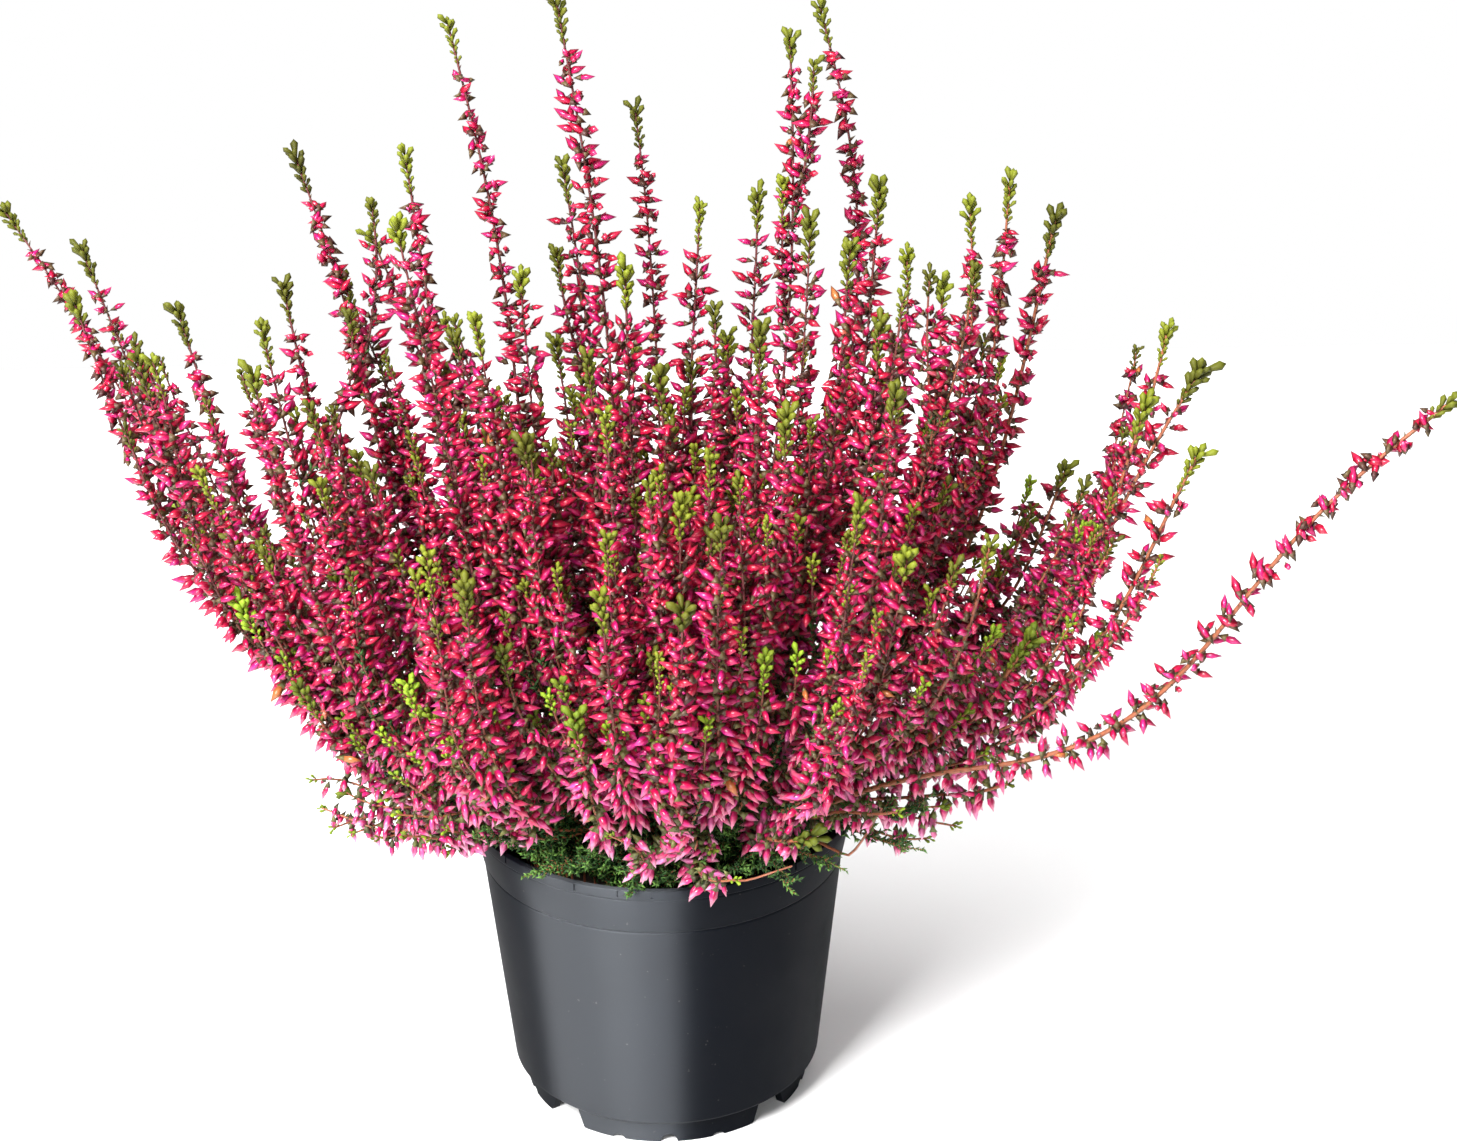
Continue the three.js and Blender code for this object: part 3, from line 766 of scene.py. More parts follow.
def make_ticks():
    """Boxes that cut short upright grooves into the rim band."""
    grid = bmesh.new()
    for turn in RIM_TICKS:
        middle = polar(turn, RIM_R, (LIP_Z + POT_H) / 2 + 0.3)
        size = Matrix.Diagonal((*TICK, POT_H - LIP_Z - 1, 1)) @ Matrix.Scale(MM, 4)
        turned = Matrix.Rotation(math.radians(turn), 4, "Z") @ size
        place = Matrix.Translation(millimetres(*middle)) @ turned
        bmesh.ops.create_cube(grid, size=1, matrix=place)
    return finished("rim_ticks", grid)


def make_drills():
    """Rods that cut the drain holes, one in the middle and one in line with each gap."""
    grid = bmesh.new()
    for spot in [(0, 0, BASE_Z)] + [polar(gap, DRAIN_RING_R, BASE_Z) for gap in FOOT_GAPS]:
        bmesh.ops.create_cone(
            grid, cap_ends=True, segments=24, radius1=DRAIN_R * MM, radius2=DRAIN_R * MM,
            depth=5 * WALL * MM, matrix=Matrix.Translation(millimetres(*spot)),
        )
    return finished("drills", grid)


def make_pot():
    shell = make_pot_shell()
    tools = {make_feet(): "UNION", make_drills(): "DIFFERENCE", make_ticks(): "DIFFERENCE"}
    for tool, operation in tools.items():
        cut = shell.modifiers.new(tool.name, "BOOLEAN")
        cut.solver = "EXACT"
        cut.object = tool
        cut.operation = operation
    pot = bake(shell, "nursery_pot")
    for spare in (shell, *tools):
        bpy.data.objects.remove(spare)
    pot.data.materials.clear()
    pot.data.materials.append(pot_finish())
    pot.data.shade_smooth()
    pot.data.set_sharp_from_angle(angle=math.radians(POT_SHARP))
    dress(pot, "pot_plastic", "pot")


# The compost

def make_compost():
    floor = BASE_Z + WALL + COMPOST_GAP
    rng = np.random.default_rng(SEED)
    lumps = [
        (*(rng.uniform(*LUMP_WAVES, 2) * rng.choice([-1, 1], 2)), rng.uniform(0, math.tau))
        for _ in range(LUMPS)
    ]

    def surface(x, y):
        rough = sum(math.sin(right * x + back * y + phase) for right, back, phase in lumps) / 12
        edge = min(1.0, (COMPOST_R - math.hypot(x, y)) / EDGE_WIDE)
        return millimetres(x, y, COMPOST_TOP + LUMP_RISE * rough - EDGE_FALL * (1 - edge))

    grid = bmesh.new()
    rings = [[grid.verts.new(surface(0, 0))] * COMPOST_SIDES]
    for ring in range(1, COMPOST_RINGS + 1):
        spots = circle(COMPOST_R * ring / COMPOST_RINGS, COMPOST_SIDES)
        rings.append([grid.verts.new(surface(x, y)) for x, y in spots])
    spots = circle(inner_radius(floor) - COMPOST_GAP, COMPOST_SIDES)
    rings.append([grid.verts.new(millimetres(x, y, floor)) for x, y in spots])
    for low, high in zip(rings, rings[1:]):
        bridge(grid, low, high)
    grid.faces.new(list(reversed(rings[-1])))
    compost = finished("peat_compost", grid)
    compost.data.materials.append(compost_finish())
    compost.data.shade_smooth()
    dress(compost, "compost", "compost")


# The frame's shoots, grown again by the same rule

draw = SEED


def chance(low, high):
    global draw
    draw = (draw * 1103515245 + 12345) & 0x7FFFFFFF
    return low + (high - low) * draw / 0x80000000


def from_photo(column, row, depth):
    """The place at a depth behind the pot's axis that shows at a pixel of the photograph."""
    across = (column - PHOTO_SIZE[0] / 2) / FOCAL_PX
    above = (PHOTO_SIZE[1] / 2 - row) / FOCAL_PX
    sight = AHEAD + across * RIGHT + above * UP
    return sight * (depth + EYE_AWAY) / sight[1] + EYE


def new_spray(name, ends, leafy=False, back=False):
    crown = LEAFY_CROWN_R if leafy else CROWN_R
    return {"name": name, "ends": ends, "crown": crown, "leafy": leafy, "back": back}


def photo_sprays():
    return [
        new_spray(name, [(from_photo(*spot), lean) for *spot, lean in readings])
        for name, readings in SPRAYS.items()
    ]


def back_sprays():
    sprays = []
    for count, reach, height in BACK_ROWS:
        step = BACK_SPAN / (2 * count)
        for i in range(count):
            ends = []
            for side in range(2):
                turn = 180 - BACK_SPAN / 2 + step * (2 * i + side + 0.5) + chance(-4, 4)
                tip = polar(turn, reach * chance(0.94, 1.06), height * chance(0.96, 1.04))
                tip[0] *= BACK_WIDER
                ends.append((tip, BACK_LEAN * tip[0] / reach))
            sprays.append(new_spray(f"back_{len(sprays) + 1}", ends, back=True))
    return sprays


def leafy_sprays():
    sprays = []
    for number, spot in enumerate(LEAFY_SPRAYS):
        lean = math.copysign(LEAFY_LEAN, spot[0])
        ends = [(polar(*(spot + LEAFY_ENDS * side)), lean) for side in (-0.5, 0.5)]
        sprays.append(new_spray(f"leafy_{number + 1}", ends, leafy=True))
    return sprays


def clamped(foot, crown):
    return foot * min(1.0, crown / abs(foot)) if foot else foot


def set_feet(sprays):
    """Puts each spray's foot on the compost, as a complex number x + yi."""
    for spray in sprays:
        middle = sum(complex(*tip[:2]) for tip, _ in spray["ends"]) * FOOT_SHARE / len(spray["ends"])
        outside = middle / abs(middle) * spray["crown"]
        spray["foot"] = outside if spray["leafy"] else clamped(middle, spray["crown"])
    for _ in range(FEET_PASSES):
        for a in sprays:
            for b in sprays:
                apart = a["foot"] - b["foot"]
                short = FOOT_SPACING - abs(apart)
                if a is b or short <= 0:
                    continue
                push = apart / abs(apart) * short / 2
                a["foot"] = clamped(a["foot"] + push, a["crown"])
                b["foot"] = clamped(b["foot"] - push, b["crown"])


def grow_path(start, tip, lean):
    across = tip - start
    length = np.linalg.norm(across)
    angle = math.radians(lean)
    end = np.array([math.sin(angle), DEPTH_LEAN * across[1] / length, math.cos(angle)])
    first = start + across * np.array([BELLY, BELLY, BELLY_RISE])
    last = tip - unit(end) * TIP_PULL * length
    return swept(start, first, last, tip, np.linspace(0, 1, PATH_POINTS + 1)[1:, None])


def grow_shoots(sprays):
    """Each shoot's points, from its spray's fork on; the main shoot's foot, neck and middle come first."""
    shoots = []
    for number, spray in enumerate(sprays):
        foot = np.array([spray["foot"].real, spray["foot"].imag, 0.0])
        root = foot + [0, 0, COMPOST_TOP - HOLE_DEPTH]
        neck = foot + [0, 0, COMPOST_TOP + NECK]
        fork = foot * FORK_SPREAD + [0, 0, COMPOST_TOP + FORK_RISE]
        middle = neck + (fork - neck) * FORK_MIDDLE
        for end, (tip, lean) in enumerate(spray["ends"]):
            points = np.vstack([[root, neck, middle, fork], grow_path(fork, tip, lean)])
            shoots.append({"spray": spray, "number": number, "side": end > 0, "points": points})
    return shoots


def path_length(points):
    return np.linalg.norm(np.diff(points, axis=0), axis=1).sum()


def own_points(shoot):
    return shoot["points"][FORK_POINT:] if shoot["side"] else shoot["points"]


def fork_distance(shoot):
    return 0 if shoot["side"] else path_length(shoot["points"][:FORK_POINT + 1])


def bare_length(shoot):
    if shoot["spray"]["leafy"]:
        return fork_distance(shoot) + BARE_LEAFY
    tip = shoot["points"][-1]
    inside = max(0, 1 - math.hypot(tip[0], tip[1]) / BARE_REACH)
    return fork_distance(shoot) + (BARE_SIDE if shoot["side"] else BARE_MAIN) + BARE_INSIDE * inside


def off_rim(points, room, reach=RIM_REACH):
    """The points, with those near the pot's rim lifted to that room above it, in place."""
    near = np.abs(np.hypot(points[:, 0], points[:, 1]) - RIM_R) <= reach
    points[:, 2] = np.where(near, np.maximum(points[:, 2], POT_H + room), points[:, 2])
    return points


def bend_clear(shoots):
    """Pushes points of different shoots apart, pass by pass, until each has its room."""
    count = len(shoots[0]["points"])
    places = np.stack([shoot["points"] for shoot in shoots])
    side = np.array([shoot["side"] for shoot in shoots])
    first = np.where(side, FORK_POINT, 0)
    used = (np.arange(count) >= first[:, None]).ravel()
    along = np.zeros(places.shape[:2])
    along[:, 1:] = np.linalg.norm(np.diff(places, axis=1), axis=2).cumsum(axis=1)
    along -= along[np.arange(len(shoots)), first][:, None]
    bare = np.array([[bare_length(shoot)] for shoot in shoots])
    fork = np.array([[fork_distance(shoot)] for shoot in shoots])
    leafy = np.array([[shoot["spray"]["leafy"]] for shoot in shoots])
    ease = np.where(leafy, LEAFY_EVEN_OUT, EVEN_OUT)
    room = np.where(along < bare, STEM_ROOM, np.where(leafy, LEAF_ROOM, BUD_ROOM))
    free = (along > fork + FORK_CLEAR).ravel()
    owner = np.repeat([shoot["number"] for shoot in shoots], count)
    which = np.repeat(np.arange(len(shoots)), count)
    a, b = np.triu_indices(len(which), 1)
    keep = used[a] & used[b] & (which[a] != which[b])
    keep &= (owner[a] != owner[b]) | (free[a] & free[b])
    a, b = a[keep], b[keep]
    spots = places.reshape(-1, 3)
    wanted = room.ravel()[a] + room.ravel()[b]
    near = np.linalg.norm(spots[a] - spots[b], axis=1) < 2 * wanted
    a, b, wanted = a[near], b[near], wanted[near]
    held = np.where(side, FORK_POINT + 1, 2)
    for _ in range(APART_PASSES):
        spots = places.reshape(-1, 3)
        apart = spots[a] - spots[b]
        distance = np.linalg.norm(apart, axis=1)
        short = np.maximum(wanted - distance, 0)
        shove = apart / distance[:, None] * (short / 2)[:, None]
        push = np.zeros_like(spots)
        for axis in range(3):
            push[:, axis] += np.bincount(a, shove[:, axis], len(spots))
            push[:, axis] -= np.bincount(b, shove[:, axis], len(spots))
        push = push.reshape(places.shape)
        for k in range(2, count):
            rows = held <= k
            after = push[:, k + 1] if k < count - 1 else push[:, k]
            point = places[:, k] + (0.5 * push[:, k] + 0.25 * push[:, k - 1] + 0.25 * after)
            if k < count - 1:
                even = 0.5 * (places[:, k - 1] + places[:, k + 1])
                point += ease * (even - point)
            places[rows, k] = off_rim(point, RIM_ROOM * room[:, k])[rows]
            if k == FORK_POINT:
                for i in np.flatnonzero(side):
                    places[i, k] = places[i - 1, k]
    for shoot, points in zip(shoots, places):
        shoot["points"] = points


# The fine shoots along those paths

def unit(vector):
    return vector / np.linalg.norm(vector)


def sideways(ahead, rng):
    """A direction drawn at random, square to the one ahead."""
    aside = rng.normal(size=3)
    return unit(aside - aside.dot(ahead) * ahead)


def walked(path):
    """How far along the path each of its points lies."""
    return np.concatenate([[0], np.linalg.norm(np.diff(path, axis=0), axis=1).cumsum()])


def resampled(points, step=STEP):
    """The path at even steps, with its corners eased."""
    distance = walked(points)
    count = max(4, round(distance[-1] / step))
    at = np.linspace(0, distance[-1], count + 1)
    path = np.stack([np.interp(at, distance, points[:, axis]) for axis in range(3)], axis=1)
    for _ in range(3):
        path[1:-1] = 0.25 * path[:-2] + 0.5 * path[1:-1] + 0.25 * path[2:]
    return path


def strand(path, *values):
    """A path, and a number at each of its points for each of the VALUES that the tree reads."""
    return path, [np.full(len(path), value, float) for value in values]


def shoot_strand(path, flower_start, tip_length, thick_start, head, rng, thin=STEM_THIN):
    """One shoot. Its zone is 0 where it is leafy, 1 where it flowers and 2 in its head."""
    distance = walked(path)
    left = distance[-1] - distance
    zone = np.where(distance < flower_start, 0.0, np.where(left < tip_length, 2.0, 1.0))
    share = distance / distance[-1]
    thick = thick_start + (thin - thick_start) * share ** 0.6
    height = (path[:, 2] + rng.uniform(-14, 14) - LOW_Z) / (HIGH_Z - LOW_Z)
    fresh = np.where(zone > 1.5, rng.uniform(0.4, 1.0), 0.15 + 0.35 * share)
    vigour = np.clip(0.72 + (left - tip_length) / 30, 0.72, 1.0)
    bunch = head * (0.55 + 0.65 * np.clip(1 - left / tip_length, 0, 1))
    vigour = np.where(zone > 1.5, bunch, vigour) * rng.uniform(0.9, 1.08)
    return strand(path, zone, thick, 1 - np.clip(height, 0, 1), fresh, vigour)


def swaying(path, rng, sway):
    """The path with slow waves across it that keep its ends in place."""
    ahead = unit(path[-1] - path[0])
    aside = unit(np.cross(ahead, rng.normal(size=3)))
    share = np.linspace(0, 1, len(path))[:, None]
    wave = np.sin(share * rng.uniform(5, 9) + rng.uniform(0, 6))
    other = np.sin(share * rng.uniform(4, 8) + rng.uniform(0, 6))
    hold = np.sin(math.pi * share)
    return path + sway * hold * (wave * aside + other * np.cross(ahead, aside))


def companion(host, rng):
    """A finer shoot that leaves the host low down, keeps beside it and ends below its tip. There is
    none where it would be too short."""
    start, end = rng.uniform(*BESIDE_STARTS), rng.uniform(*BESIDE_ENDS)
    path = resampled(host, FINE_STEP)
    share = np.linspace(0, 1, len(path))
    if path[np.searchsorted(share, end) - 1][2] > SINGLE_ABOVE:
        below = path[:, 2] < SINGLE_ABOVE - rng.uniform(0, 50)
        end = share[np.flatnonzero(below)[-1]]
    if (end - start) * path_length(host) < BESIDE_LEAST:
        return None
    part = path[(share >= start) & (share <= end)]
    aside = sideways(unit(part[-1] - part[0]), rng)
    if aside[2] < -0.2:
        aside = -aside
    spread = 1 - (1 - np.linspace(0, 1, len(part))[:, None]) ** 1.7
    beside = part + aside * (rng.uniform(*BESIDE_REACH) * spread)
    return resampled(off_rim(swaying(beside, rng, BESIDE_SWAY), 5))


def photo_pixels(points):
    sight = points - EYE
    far = sight @ AHEAD
    return np.stack([
        PHOTO_SIZE[0] / 2 + FOCAL_PX * (sight @ RIGHT) / far,
        PHOTO_SIZE[1] / 2 - FOCAL_PX * (sight @ UP) / far,
    ], axis=1)


def side_shoot(hosts, pixel):
    """A side shoot of the nearest host that ends at a pixel of the photograph, at the host's depth."""
    nearest = []
    for path in [resampled(host, FINE_STEP) for host in hosts]:
        away = np.linalg.norm(photo_pixels(path) - pixel, axis=1)
        nearest.append((away.min(), int(away.argmin()), path))
    _, near, path = min(nearest, key=lambda found: found[0])
    start = max(near - SIDE_SHOOT // 2, 2)
    root = path[start]
    tip = from_photo(*pixel, path[near][1] - 2)
    ahead = unit(path[start + 1] - path[start - 1])
    first = root + (tip - root) * [0.5, 0.5, 0.2]
    last = tip - ahead * 0.35 * np.linalg.norm(tip - root)
    return resampled(swept(root, first, last, tip, np.linspace(0, 1, 20)[:, None]))


def spray_strands(spray, own, rng):
    """Every fine shoot of one spray: the frame's own shoots and the finer ones beside them."""
    strands = []
    hosts = [own_points(shoot) for shoot in own]
    count = COMPANIONS_BACK if spray["back"] else COMPANIONS.get(spray["name"], COMPANIONS_FRONT)
    for shoot, host, (_, lean) in zip(own, hosts, spray["ends"]):
        path = swaying(resampled(host), rng, MAIN_SWAY)
        head, tip, thin = rng.uniform(*MAIN_HEAD), rng.uniform(*MAIN_TIP), STEM_THIN
        thick = SIDE_THICK if shoot["side"] else STEM_THICK
        if abs(lean) > DROOPING:
            head, tip = DROOPING_HEAD, DROOPING_TIP
        if spray["name"] in LOOSE_SPRAYS:
            head, thick, thin = LOOSE_HEAD * head, WOODY_THICK, LOOSE_THIN * STEM_THIN
        low_bare = FRONT_BARE if host[-1][1] < FRONT_DEPTH and abs(lean) < DROOPING else 0
        bare = bare_length(shoot) + low_bare
        strands.append(shoot_strand(path, bare, tip, thick, head, rng, thin))
        for _ in range(count):
            beside = companion(host, rng)
            if beside is not None:
                head = rng.uniform(*BESIDE_HEAD)
                tip = DROOPING_TIP if abs(lean) > DROOPING else rng.uniform(*BESIDE_TIP)
                bare = low_bare + rng.uniform(*BESIDE_BARE)
                strands.append(shoot_strand(beside, bare, tip, SIDE_THICK, head, rng))
    for pixel in SIDE_TIPS.get(spray["name"], []):
        head, tip = DROOPING_HEAD, DROOPING_TIP
        if pixel[1] <= HANGS_BELOW:
            head, tip = SIDE_HEAD, rng.uniform(*SIDE_TIP)
        path = side_shoot(hosts, pixel)
        strands.append(shoot_strand(path, SIDE_BARE, tip, SIDE_THICK, head, rng))
    return strands


def leafy_strand(line, thick, fresh_end, bare, rng):
    """A leafy stem or twig. Its zone is -1 where it is bare and 0 where it has leaves."""
    share = np.linspace(0, 1, len(line))
    zone = np.where(share < bare, -1, 0)
    fresh = 0.05 + (fresh_end - 0.05) * share ** 1.5
    return strand(line, zone, thick * (1 - 0.6 * share), 1, fresh, rng.uniform(0.85, 1.1))


def leafy_strands(path, rng, twigs=SPRIG_TWIGS, bare=0.1):
    """A leafy stem with short twigs that leave it on all sides, but seldom downwards."""
    strands = [leafy_strand(path, 0.45, rng.uniform(0.3, 0.9), bare, rng)]
    for twig in range(twigs):
        share = bare + (0.97 - bare) * (twig + rng.uniform(0, 0.6)) / twigs
        at = int(share * (len(path) - 2))
        step = path[at + 1] - path[at]
        ahead = unit(step)
        aside = sideways(ahead, rng)
        aside[2] = max(aside[2], -0.2)
        reach = TWIG_REACH * (1.25 - 0.6 * share) * rng.uniform(0.7, 1.2)
        along = np.linspace(0, 1, 3)[:, None]
        root = path[at] + step * (share * (len(path) - 2) - at)
        line = root + reach * (along * ahead * 0.7 + (along ** 0.8) * aside * 0.75)
        strands.append(leafy_strand(line, 0.3, rng.uniform(0.3, 1.0), 0, rng))
    return strands


def woody_strand(reading):
    """A bare stem from the crown through places that are read off the photograph."""
    marks = [from_photo(*spot) for spot in reading]
    foot = np.array([marks[0][0] * 0.7, marks[0][1] * 0.7, COMPOST_TOP - 1])
    path = off_rim(resampled(np.array([foot] + marks), 4), 2)
    return strand(path, -1, 0.7 - 0.35 * np.linspace(0, 1, len(path)), 1, 0, 1)


def strand_mesh(name, strands):
    """Polylines as a mesh of edges, with each strand's values on its points."""
    paths, numbers = zip(*strands)
    places = np.vstack(paths) * MM
    starts = set(np.cumsum([len(path) for path in paths]))
    edges = [(point - 1, point) for point in range(1, len(places)) if point not in starts]
    mesh = bpy.data.meshes.new(name)
    mesh.from_pydata(places.tolist(), edges, [])
    for value, row in zip(VALUES, np.hstack(numbers)):
        layer = mesh.attributes.new(value, "FLOAT", "POINT")
        layer.data.foreach_set("value", row * (MM if value == "thick" else 1))
    return mesh


# The tree that dresses strands with stems, buds, bracts and leaves

class Tree(Nodes):
    """A geometry node tree with named inputs."""

    def __init__(self, name, sizes):
        super().__init__(bpy.data.node_groups.new(name, "GeometryNodeTree"))
        face = self.tree.interface
        for way in ("INPUT", "OUTPUT"):
            face.new_socket("Geometry", in_out=way, socket_type="NodeSocketGeometry")
        for size, value in sizes.items():
            kind = "NodeSocketInt" if isinstance(value, int) else "NodeSocketFloat"
            face.new_socket(size, in_out="INPUT", socket_type=kind).default_value = value
        self.size = self.node("NodeGroupInput").outputs
        self.salt = 0

    def vector(self, operation, a, b):
        return self.add("ShaderNodeVectorMath", {0: a, 1: b}, operation=operation)

    def scaled(self, vector, factor):
        return self.add("ShaderNodeVectorMath", {0: vector, "Scale": factor}, operation="SCALE")

    def value(self, name):
        return self.add("GeometryNodeInputNamedAttribute", {"Name": name}, data_type="FLOAT")

    def index(self):
        return self.add("GeometryNodeInputIndex")

    def chance(self, low, high):
        self.salt += 1
        seed = self.math("ADD", self.size["Seed"], float(self.salt))
        plugs = {2: low, 3: high, "Seed": seed}
        return self.add("FunctionNodeRandomValue", plugs, out=1, data_type="FLOAT")

    def compare(self, operation, a, b):
        return self.add("FunctionNodeCompare", {0: a, 1: b}, operation=operation)

    def among(self, geometry, low, high):
        """The points whose zone lies between two numbers."""
        zone = self.value("zone")
        above = self.compare("GREATER_THAN", zone, low)
        below = self.compare("LESS_THAN", zone, high)
        both = self.add("FunctionNodeBooleanMath", {0: above, 1: below}, operation="AND")
        return self.add("GeometryNodeSeparateGeometry", {"Geometry": geometry, "Selection": both})

    def points(self, curve, spacing):
        plugs = {"Curve": curve, "Length": self.size[spacing]}
        return list(self.node("GeometryNodeCurveToPoints", plugs, mode="LENGTH").outputs)[:3]

    def turned(self, vector, axis, angle):
        plugs = {"Vector": vector, "Axis": axis, "Angle": angle}
        return self.add("ShaderNodeVectorRotate", plugs, rotation_type="AXIS_ANGLE")

    def painted(self, geometry, material):
        return self.add("GeometryNodeSetMaterial", {"Geometry": geometry, "Material": material})

    def scatter(self, points, shape, direction, length, material):
        """Copies of a shape with its +Z along a direction, at a length, as real faces."""
        rotation = self.add("FunctionNodeAlignRotationToVector", {"Vector": direction}, axis="Z")
        size = self.add("ShaderNodeCombineXYZ", {0: length, 1: length, 2: length})
        one = self.add("GeometryNodeObjectInfo", {"Object": shape}, out=4, transform_space="ORIGINAL")
        plugs = {"Points": points, "Instance": one, "Rotation": rotation, "Scale": size}
        copies = self.add("GeometryNodeInstanceOnPoints", plugs)
        return self.painted(self.add("GeometryNodeRealizeInstances", {0: copies}), material)

    def tinted(self, geometry):
        plugs = {"Geometry": geometry, "Name": "tint", "Value": self.chance(0.0, 1.0)}
        return self.add("GeometryNodeStoreNamedAttribute", plugs, data_type="FLOAT", domain="POINT")

    def join(self, parts):
        node = self.node("GeometryNodeJoinGeometry")
        for part in reversed(parts):
            self.tree.links.new(part, node.inputs[0])
        return node.outputs[0]


def stems(tree, curve, material):
    plugs = {"Resolution": tree.size["Stem Sides"], "Radius": 1.0}
    profile = tree.add("GeometryNodeCurvePrimitiveCircle", plugs, mode="RADIUS")
    tube = tree.add("GeometryNodeCurveToMesh", {
        "Curve": curve, "Profile Curve": profile, "Scale": tree.value("thick"), "Fill Caps": True,
    })
    return tree.painted(tube, material)


def buds(tree, curve, shapes, finishes):
    """Whorls of stalked buds, each with its bracts. They lean up at the top and hang at the bottom."""
    whorls, tangent, normal = tree.points(curve, "Whorl Spacing")
    count = tree.size["Buds per Whorl"]
    plugs = {"Geometry": tree.among(whorls, 0.5, 1.5), "Amount": count}
    copies, number = tree.node("GeometryNodeDuplicateElements", plugs, domain="POINT").outputs
    share = tree.math("DIVIDE", math.tau, count)
    whorl = tree.math("FLOOR", tree.math("DIVIDE", tree.index(), count))
    whole = tree.math("MULTIPLY", whorl, WHORL_TURN)
    turn = tree.math("ADD", tree.math("MULTIPLY", number, share), whole)
    out = tree.turned(normal, tangent, tree.math("ADD", turn, tree.chance(*BUD_TURN)))
    shift = tree.math("MULTIPLY", tree.chance(-1.0, 1.0), tree.size["Whorl Spread"])
    stalk = tree.chance(tree.size["Short Stalk"], tree.size["Long Stalk"])
    outward = tree.scaled(out, tree.math("ADD", tree.value("thick"), stalk))
    offset = tree.vector("ADD", tree.scaled(tangent, shift), outward)
    moved = tree.add("GeometryNodeSetPosition", {"Geometry": copies, "Offset": offset})
    absent = tree.compare("LESS_THAN", tree.chance(0.0, 1.0), tree.size["Missing Buds"])
    left = tree.add("GeometryNodeDeleteGeometry", {"Geometry": moved, "Selection": absent})
    placed = tree.tinted(left)
    lean = tree.chance(tree.size["Lean Low"], tree.size["Lean High"])
    droop = tree.math("MULTIPLY", tree.value("low"), tree.size["Droop"])
    down = tree.add("ShaderNodeCombineXYZ", {2: tree.math("MULTIPLY", droop, -1.0)})
    upright = tree.math("MULTIPLY", lean, tree.math("SUBTRACT", 1.0, tree.value("low")))
    direction = tree.vector("ADD", tree.vector("ADD", out, tree.scaled(tangent, upright)), down)
    grown = tree.math("MULTIPLY", tree.value("vigour"), tree.size["Bud Length"])
    length = tree.math("MULTIPLY", grown, tree.chance(*BUD_GROWTH))
    return [
        tree.scatter(placed, shapes[name], direction, length, finishes[name])
        for name in ("bud", "bract")
    ]


def leaves(tree, curve, size, zones, spreads, shape, material):
    """Small leaves in a spiral along the stretches of the curve that lie in these zones."""
    points, tangent, normal = tree.points(curve, size + " Spacing")
    out = tree.turned(normal, tangent, tree.math("MULTIPLY", tree.index(), LEAF_TURN))
    chosen = tree.tinted(tree.among(points, *zones))
    spread = tree.chance(*spreads)
    direction = tree.vector("ADD", tangent, tree.scaled(out, spread))
    grown = tree.math("MULTIPLY", tree.value("vigour"), tree.size[size + " Length"])
    length = tree.math("MULTIPLY", grown, tree.chance(*LEAF_GROWTH))
    return tree.scatter(chosen, shape, direction, length, material)


def shoot_tree(shapes, finishes):
    tree = Tree("dressed_shoots", SHOOT_SIZES)
    curve = tree.add("GeometryNodeMeshToCurve", {"Mesh": tree.size["Geometry"]})
    parts = [stems(tree, curve, finishes["stem"])] + buds(tree, curve, shapes, finishes)
    for size, zones, spreads, shape, finish in (
        ("Leaf", (-0.5, 0.5), (0.7, 1.5), "leaf", "leaf"),
        ("Chip", (0.5, 1.5), (0.9, 1.8), "chip", "bract"),
        ("Tip", (1.5, 3.0), (0.35, 1.0), "club", "tip"),
    ):
        parts.append(leaves(tree, curve, size, zones, spreads, shapes[shape], finishes[finish]))
    smooth = tree.add("GeometryNodeSetShadeSmooth", {"Geometry": tree.join(parts)})
    tree.node("NodeGroupOutput", {0: smooth})
    return tree.tree


def dressed(name, strands, group, seed, **sizes):
    """A plain mesh of the strands with all that grows on them."""
    source = made(name + "_strands", strand_mesh(name, strands))
    modifier = source.modifiers.new("dress", "NODES")
    modifier.node_group = group
    sizes["Seed"] = seed
    for socket in group.interface.items_tree:
        if socket.in_out == "INPUT" and socket.name in sizes:
            modifier[socket.identifier] = sizes[socket.name]
    piece = bake(source, name)
    bpy.data.objects.remove(source)
    return piece


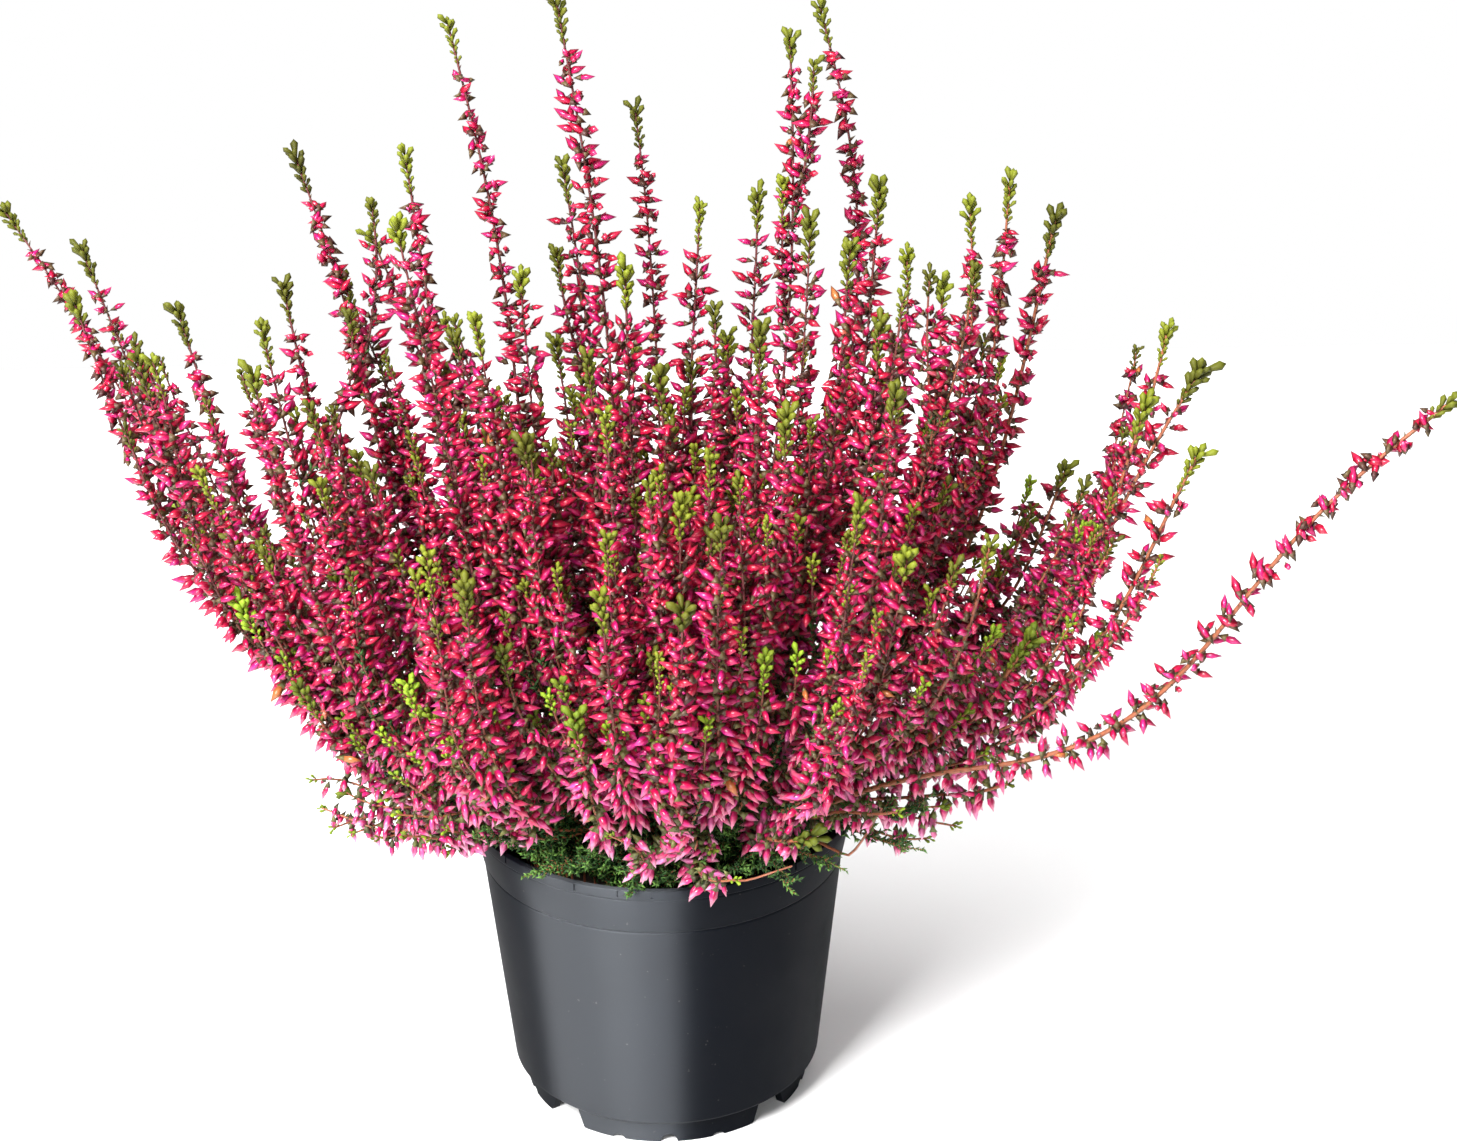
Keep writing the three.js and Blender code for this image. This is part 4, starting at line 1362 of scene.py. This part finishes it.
def make_plant():
    shapes = {
        "bud": spindle("bud_shape", [(0.16, 0.17), (0.46, 0.212)]),
        "bract": cone("bract_shape", 0.26, 0.14, -0.42),
        "chip": cone("chip_shape", 0.26, 0.0, 1.0),
        "leaf": cone("leaf_shape", 0.3, 0.0, 1.0),
        "club": spindle("club_shape", [(0.34, 0.12), (0.78, 0.2)]),
    }
    finishes = {
        "bud": bud_finish(),
        "bract": bract_finish(),
        "stem": stem_finish(),
        "leaf": leaf_finish("scale_leaf", (24, 48, 24), (54, 90, 42), (78, 110, 48), (116, 160, 70)),
        "tip": leaf_finish("leafy_tip", (42, 38, 12), (76, 74, 20), (112, 120, 30), (140, 172, 42)),
    }
    group = shoot_tree(shapes, finishes)
    sprays = photo_sprays() + back_sprays() + leafy_sprays()
    set_feet(sprays)
    shoots = grow_shoots(sprays)
    bend_clear(shoots)
    rng = np.random.default_rng(SEED)
    for number, spray in enumerate(sprays):
        name = spray["name"]
        own = [shoot for shoot in shoots if shoot["number"] == number]
        if spray["leafy"]:
            strands = []
            for shoot in own:
                path = resampled(own_points(shoot), SPRIG_STEP)
                twigs = int((1 - LEAFY_BARE) * path_length(path) / TWIGS_APART)
                strands += leafy_strands(path, rng, twigs, LEAFY_BARE)
            piece = dressed(name + "_sprigs", strands, group, number + 1, **LEAFY_SIZES)
            dress(piece, "leafy_shoots", name.replace("leafy_", "leafy_spray_"))
        else:
            sizes = LOOSE_SIZES if name in LOOSE_SPRAYS else {}
            strands = spray_strands(spray, own, rng)
            piece = dressed("heather_" + name, strands, group, number + 1, **sizes)
            dress(piece, "flowering_shoots", "shoots_" + name)
    make_cushion(group, rng)
    for shape in shapes.values():
        bpy.data.objects.remove(shape)


def make_cushion(group, rng):
    """The low leafy growth that hides the compost, as sprigs that rise and spread from the crown."""
    quarters = {"front": [], "right": [], "back": [], "left": []}

    def add_sprig(turn, start, tip, rise, points, reach):
        belly = start + (tip - start) * [rise, rise, 1.0]
        path = off_rim(bow(start, belly, tip, points), 2, reach)
        quarter = list(quarters)[int((turn + 45) % 360 // 90)]
        quarters[quarter] += leafy_strands(path, rng)

    for number in range(SPRIGS):
        turn = 360 * number / SPRIGS * 29 % 360
        inner = SPRIG_RING_R * math.sqrt(rng.uniform(0.12, 1))
        start = polar(turn, inner, SPRIG_START_Z)
        spread = polar(turn, rng.uniform(*SPRIG_SPREAD), 0)
        rise = rng.uniform(*SPRIG_RISE) * (1.2 - 0.4 * inner / SPRIG_RING_R)
        tip = start + spread + [*(rng.normal(size=2) * 6), rise]
        add_sprig(turn, start, tip, 0.25, 9, 5)
    for number in range(RIM_SPRIGS):
        turn = RIM_SPAN * ((number + 0.5) / RIM_SPRIGS - 0.5) + rng.uniform(-3, 3)
        start = polar(turn + rng.uniform(-8, 8), RIM_START_R, SPRIG_START_Z)
        tip = polar(turn, rng.uniform(*RIM_TIP_R), rng.uniform(*RIM_TIP_Z))
        add_sprig(turn, start, tip, 0.3, 8, RIM_REACH)
    quarters["front"] += [woody_strand(reading) for reading in WOODY_STEMS]
    for seed, (quarter, strands) in enumerate(quarters.items()):
        piece = dressed("leafy_cushion_" + quarter, strands, group, 101 + seed, **LEAFY_SIZES)
        dress(piece, "leafy_shoots")


make_camera()
make_stage()
make_pot()
make_compost()
make_plant()
light_all()
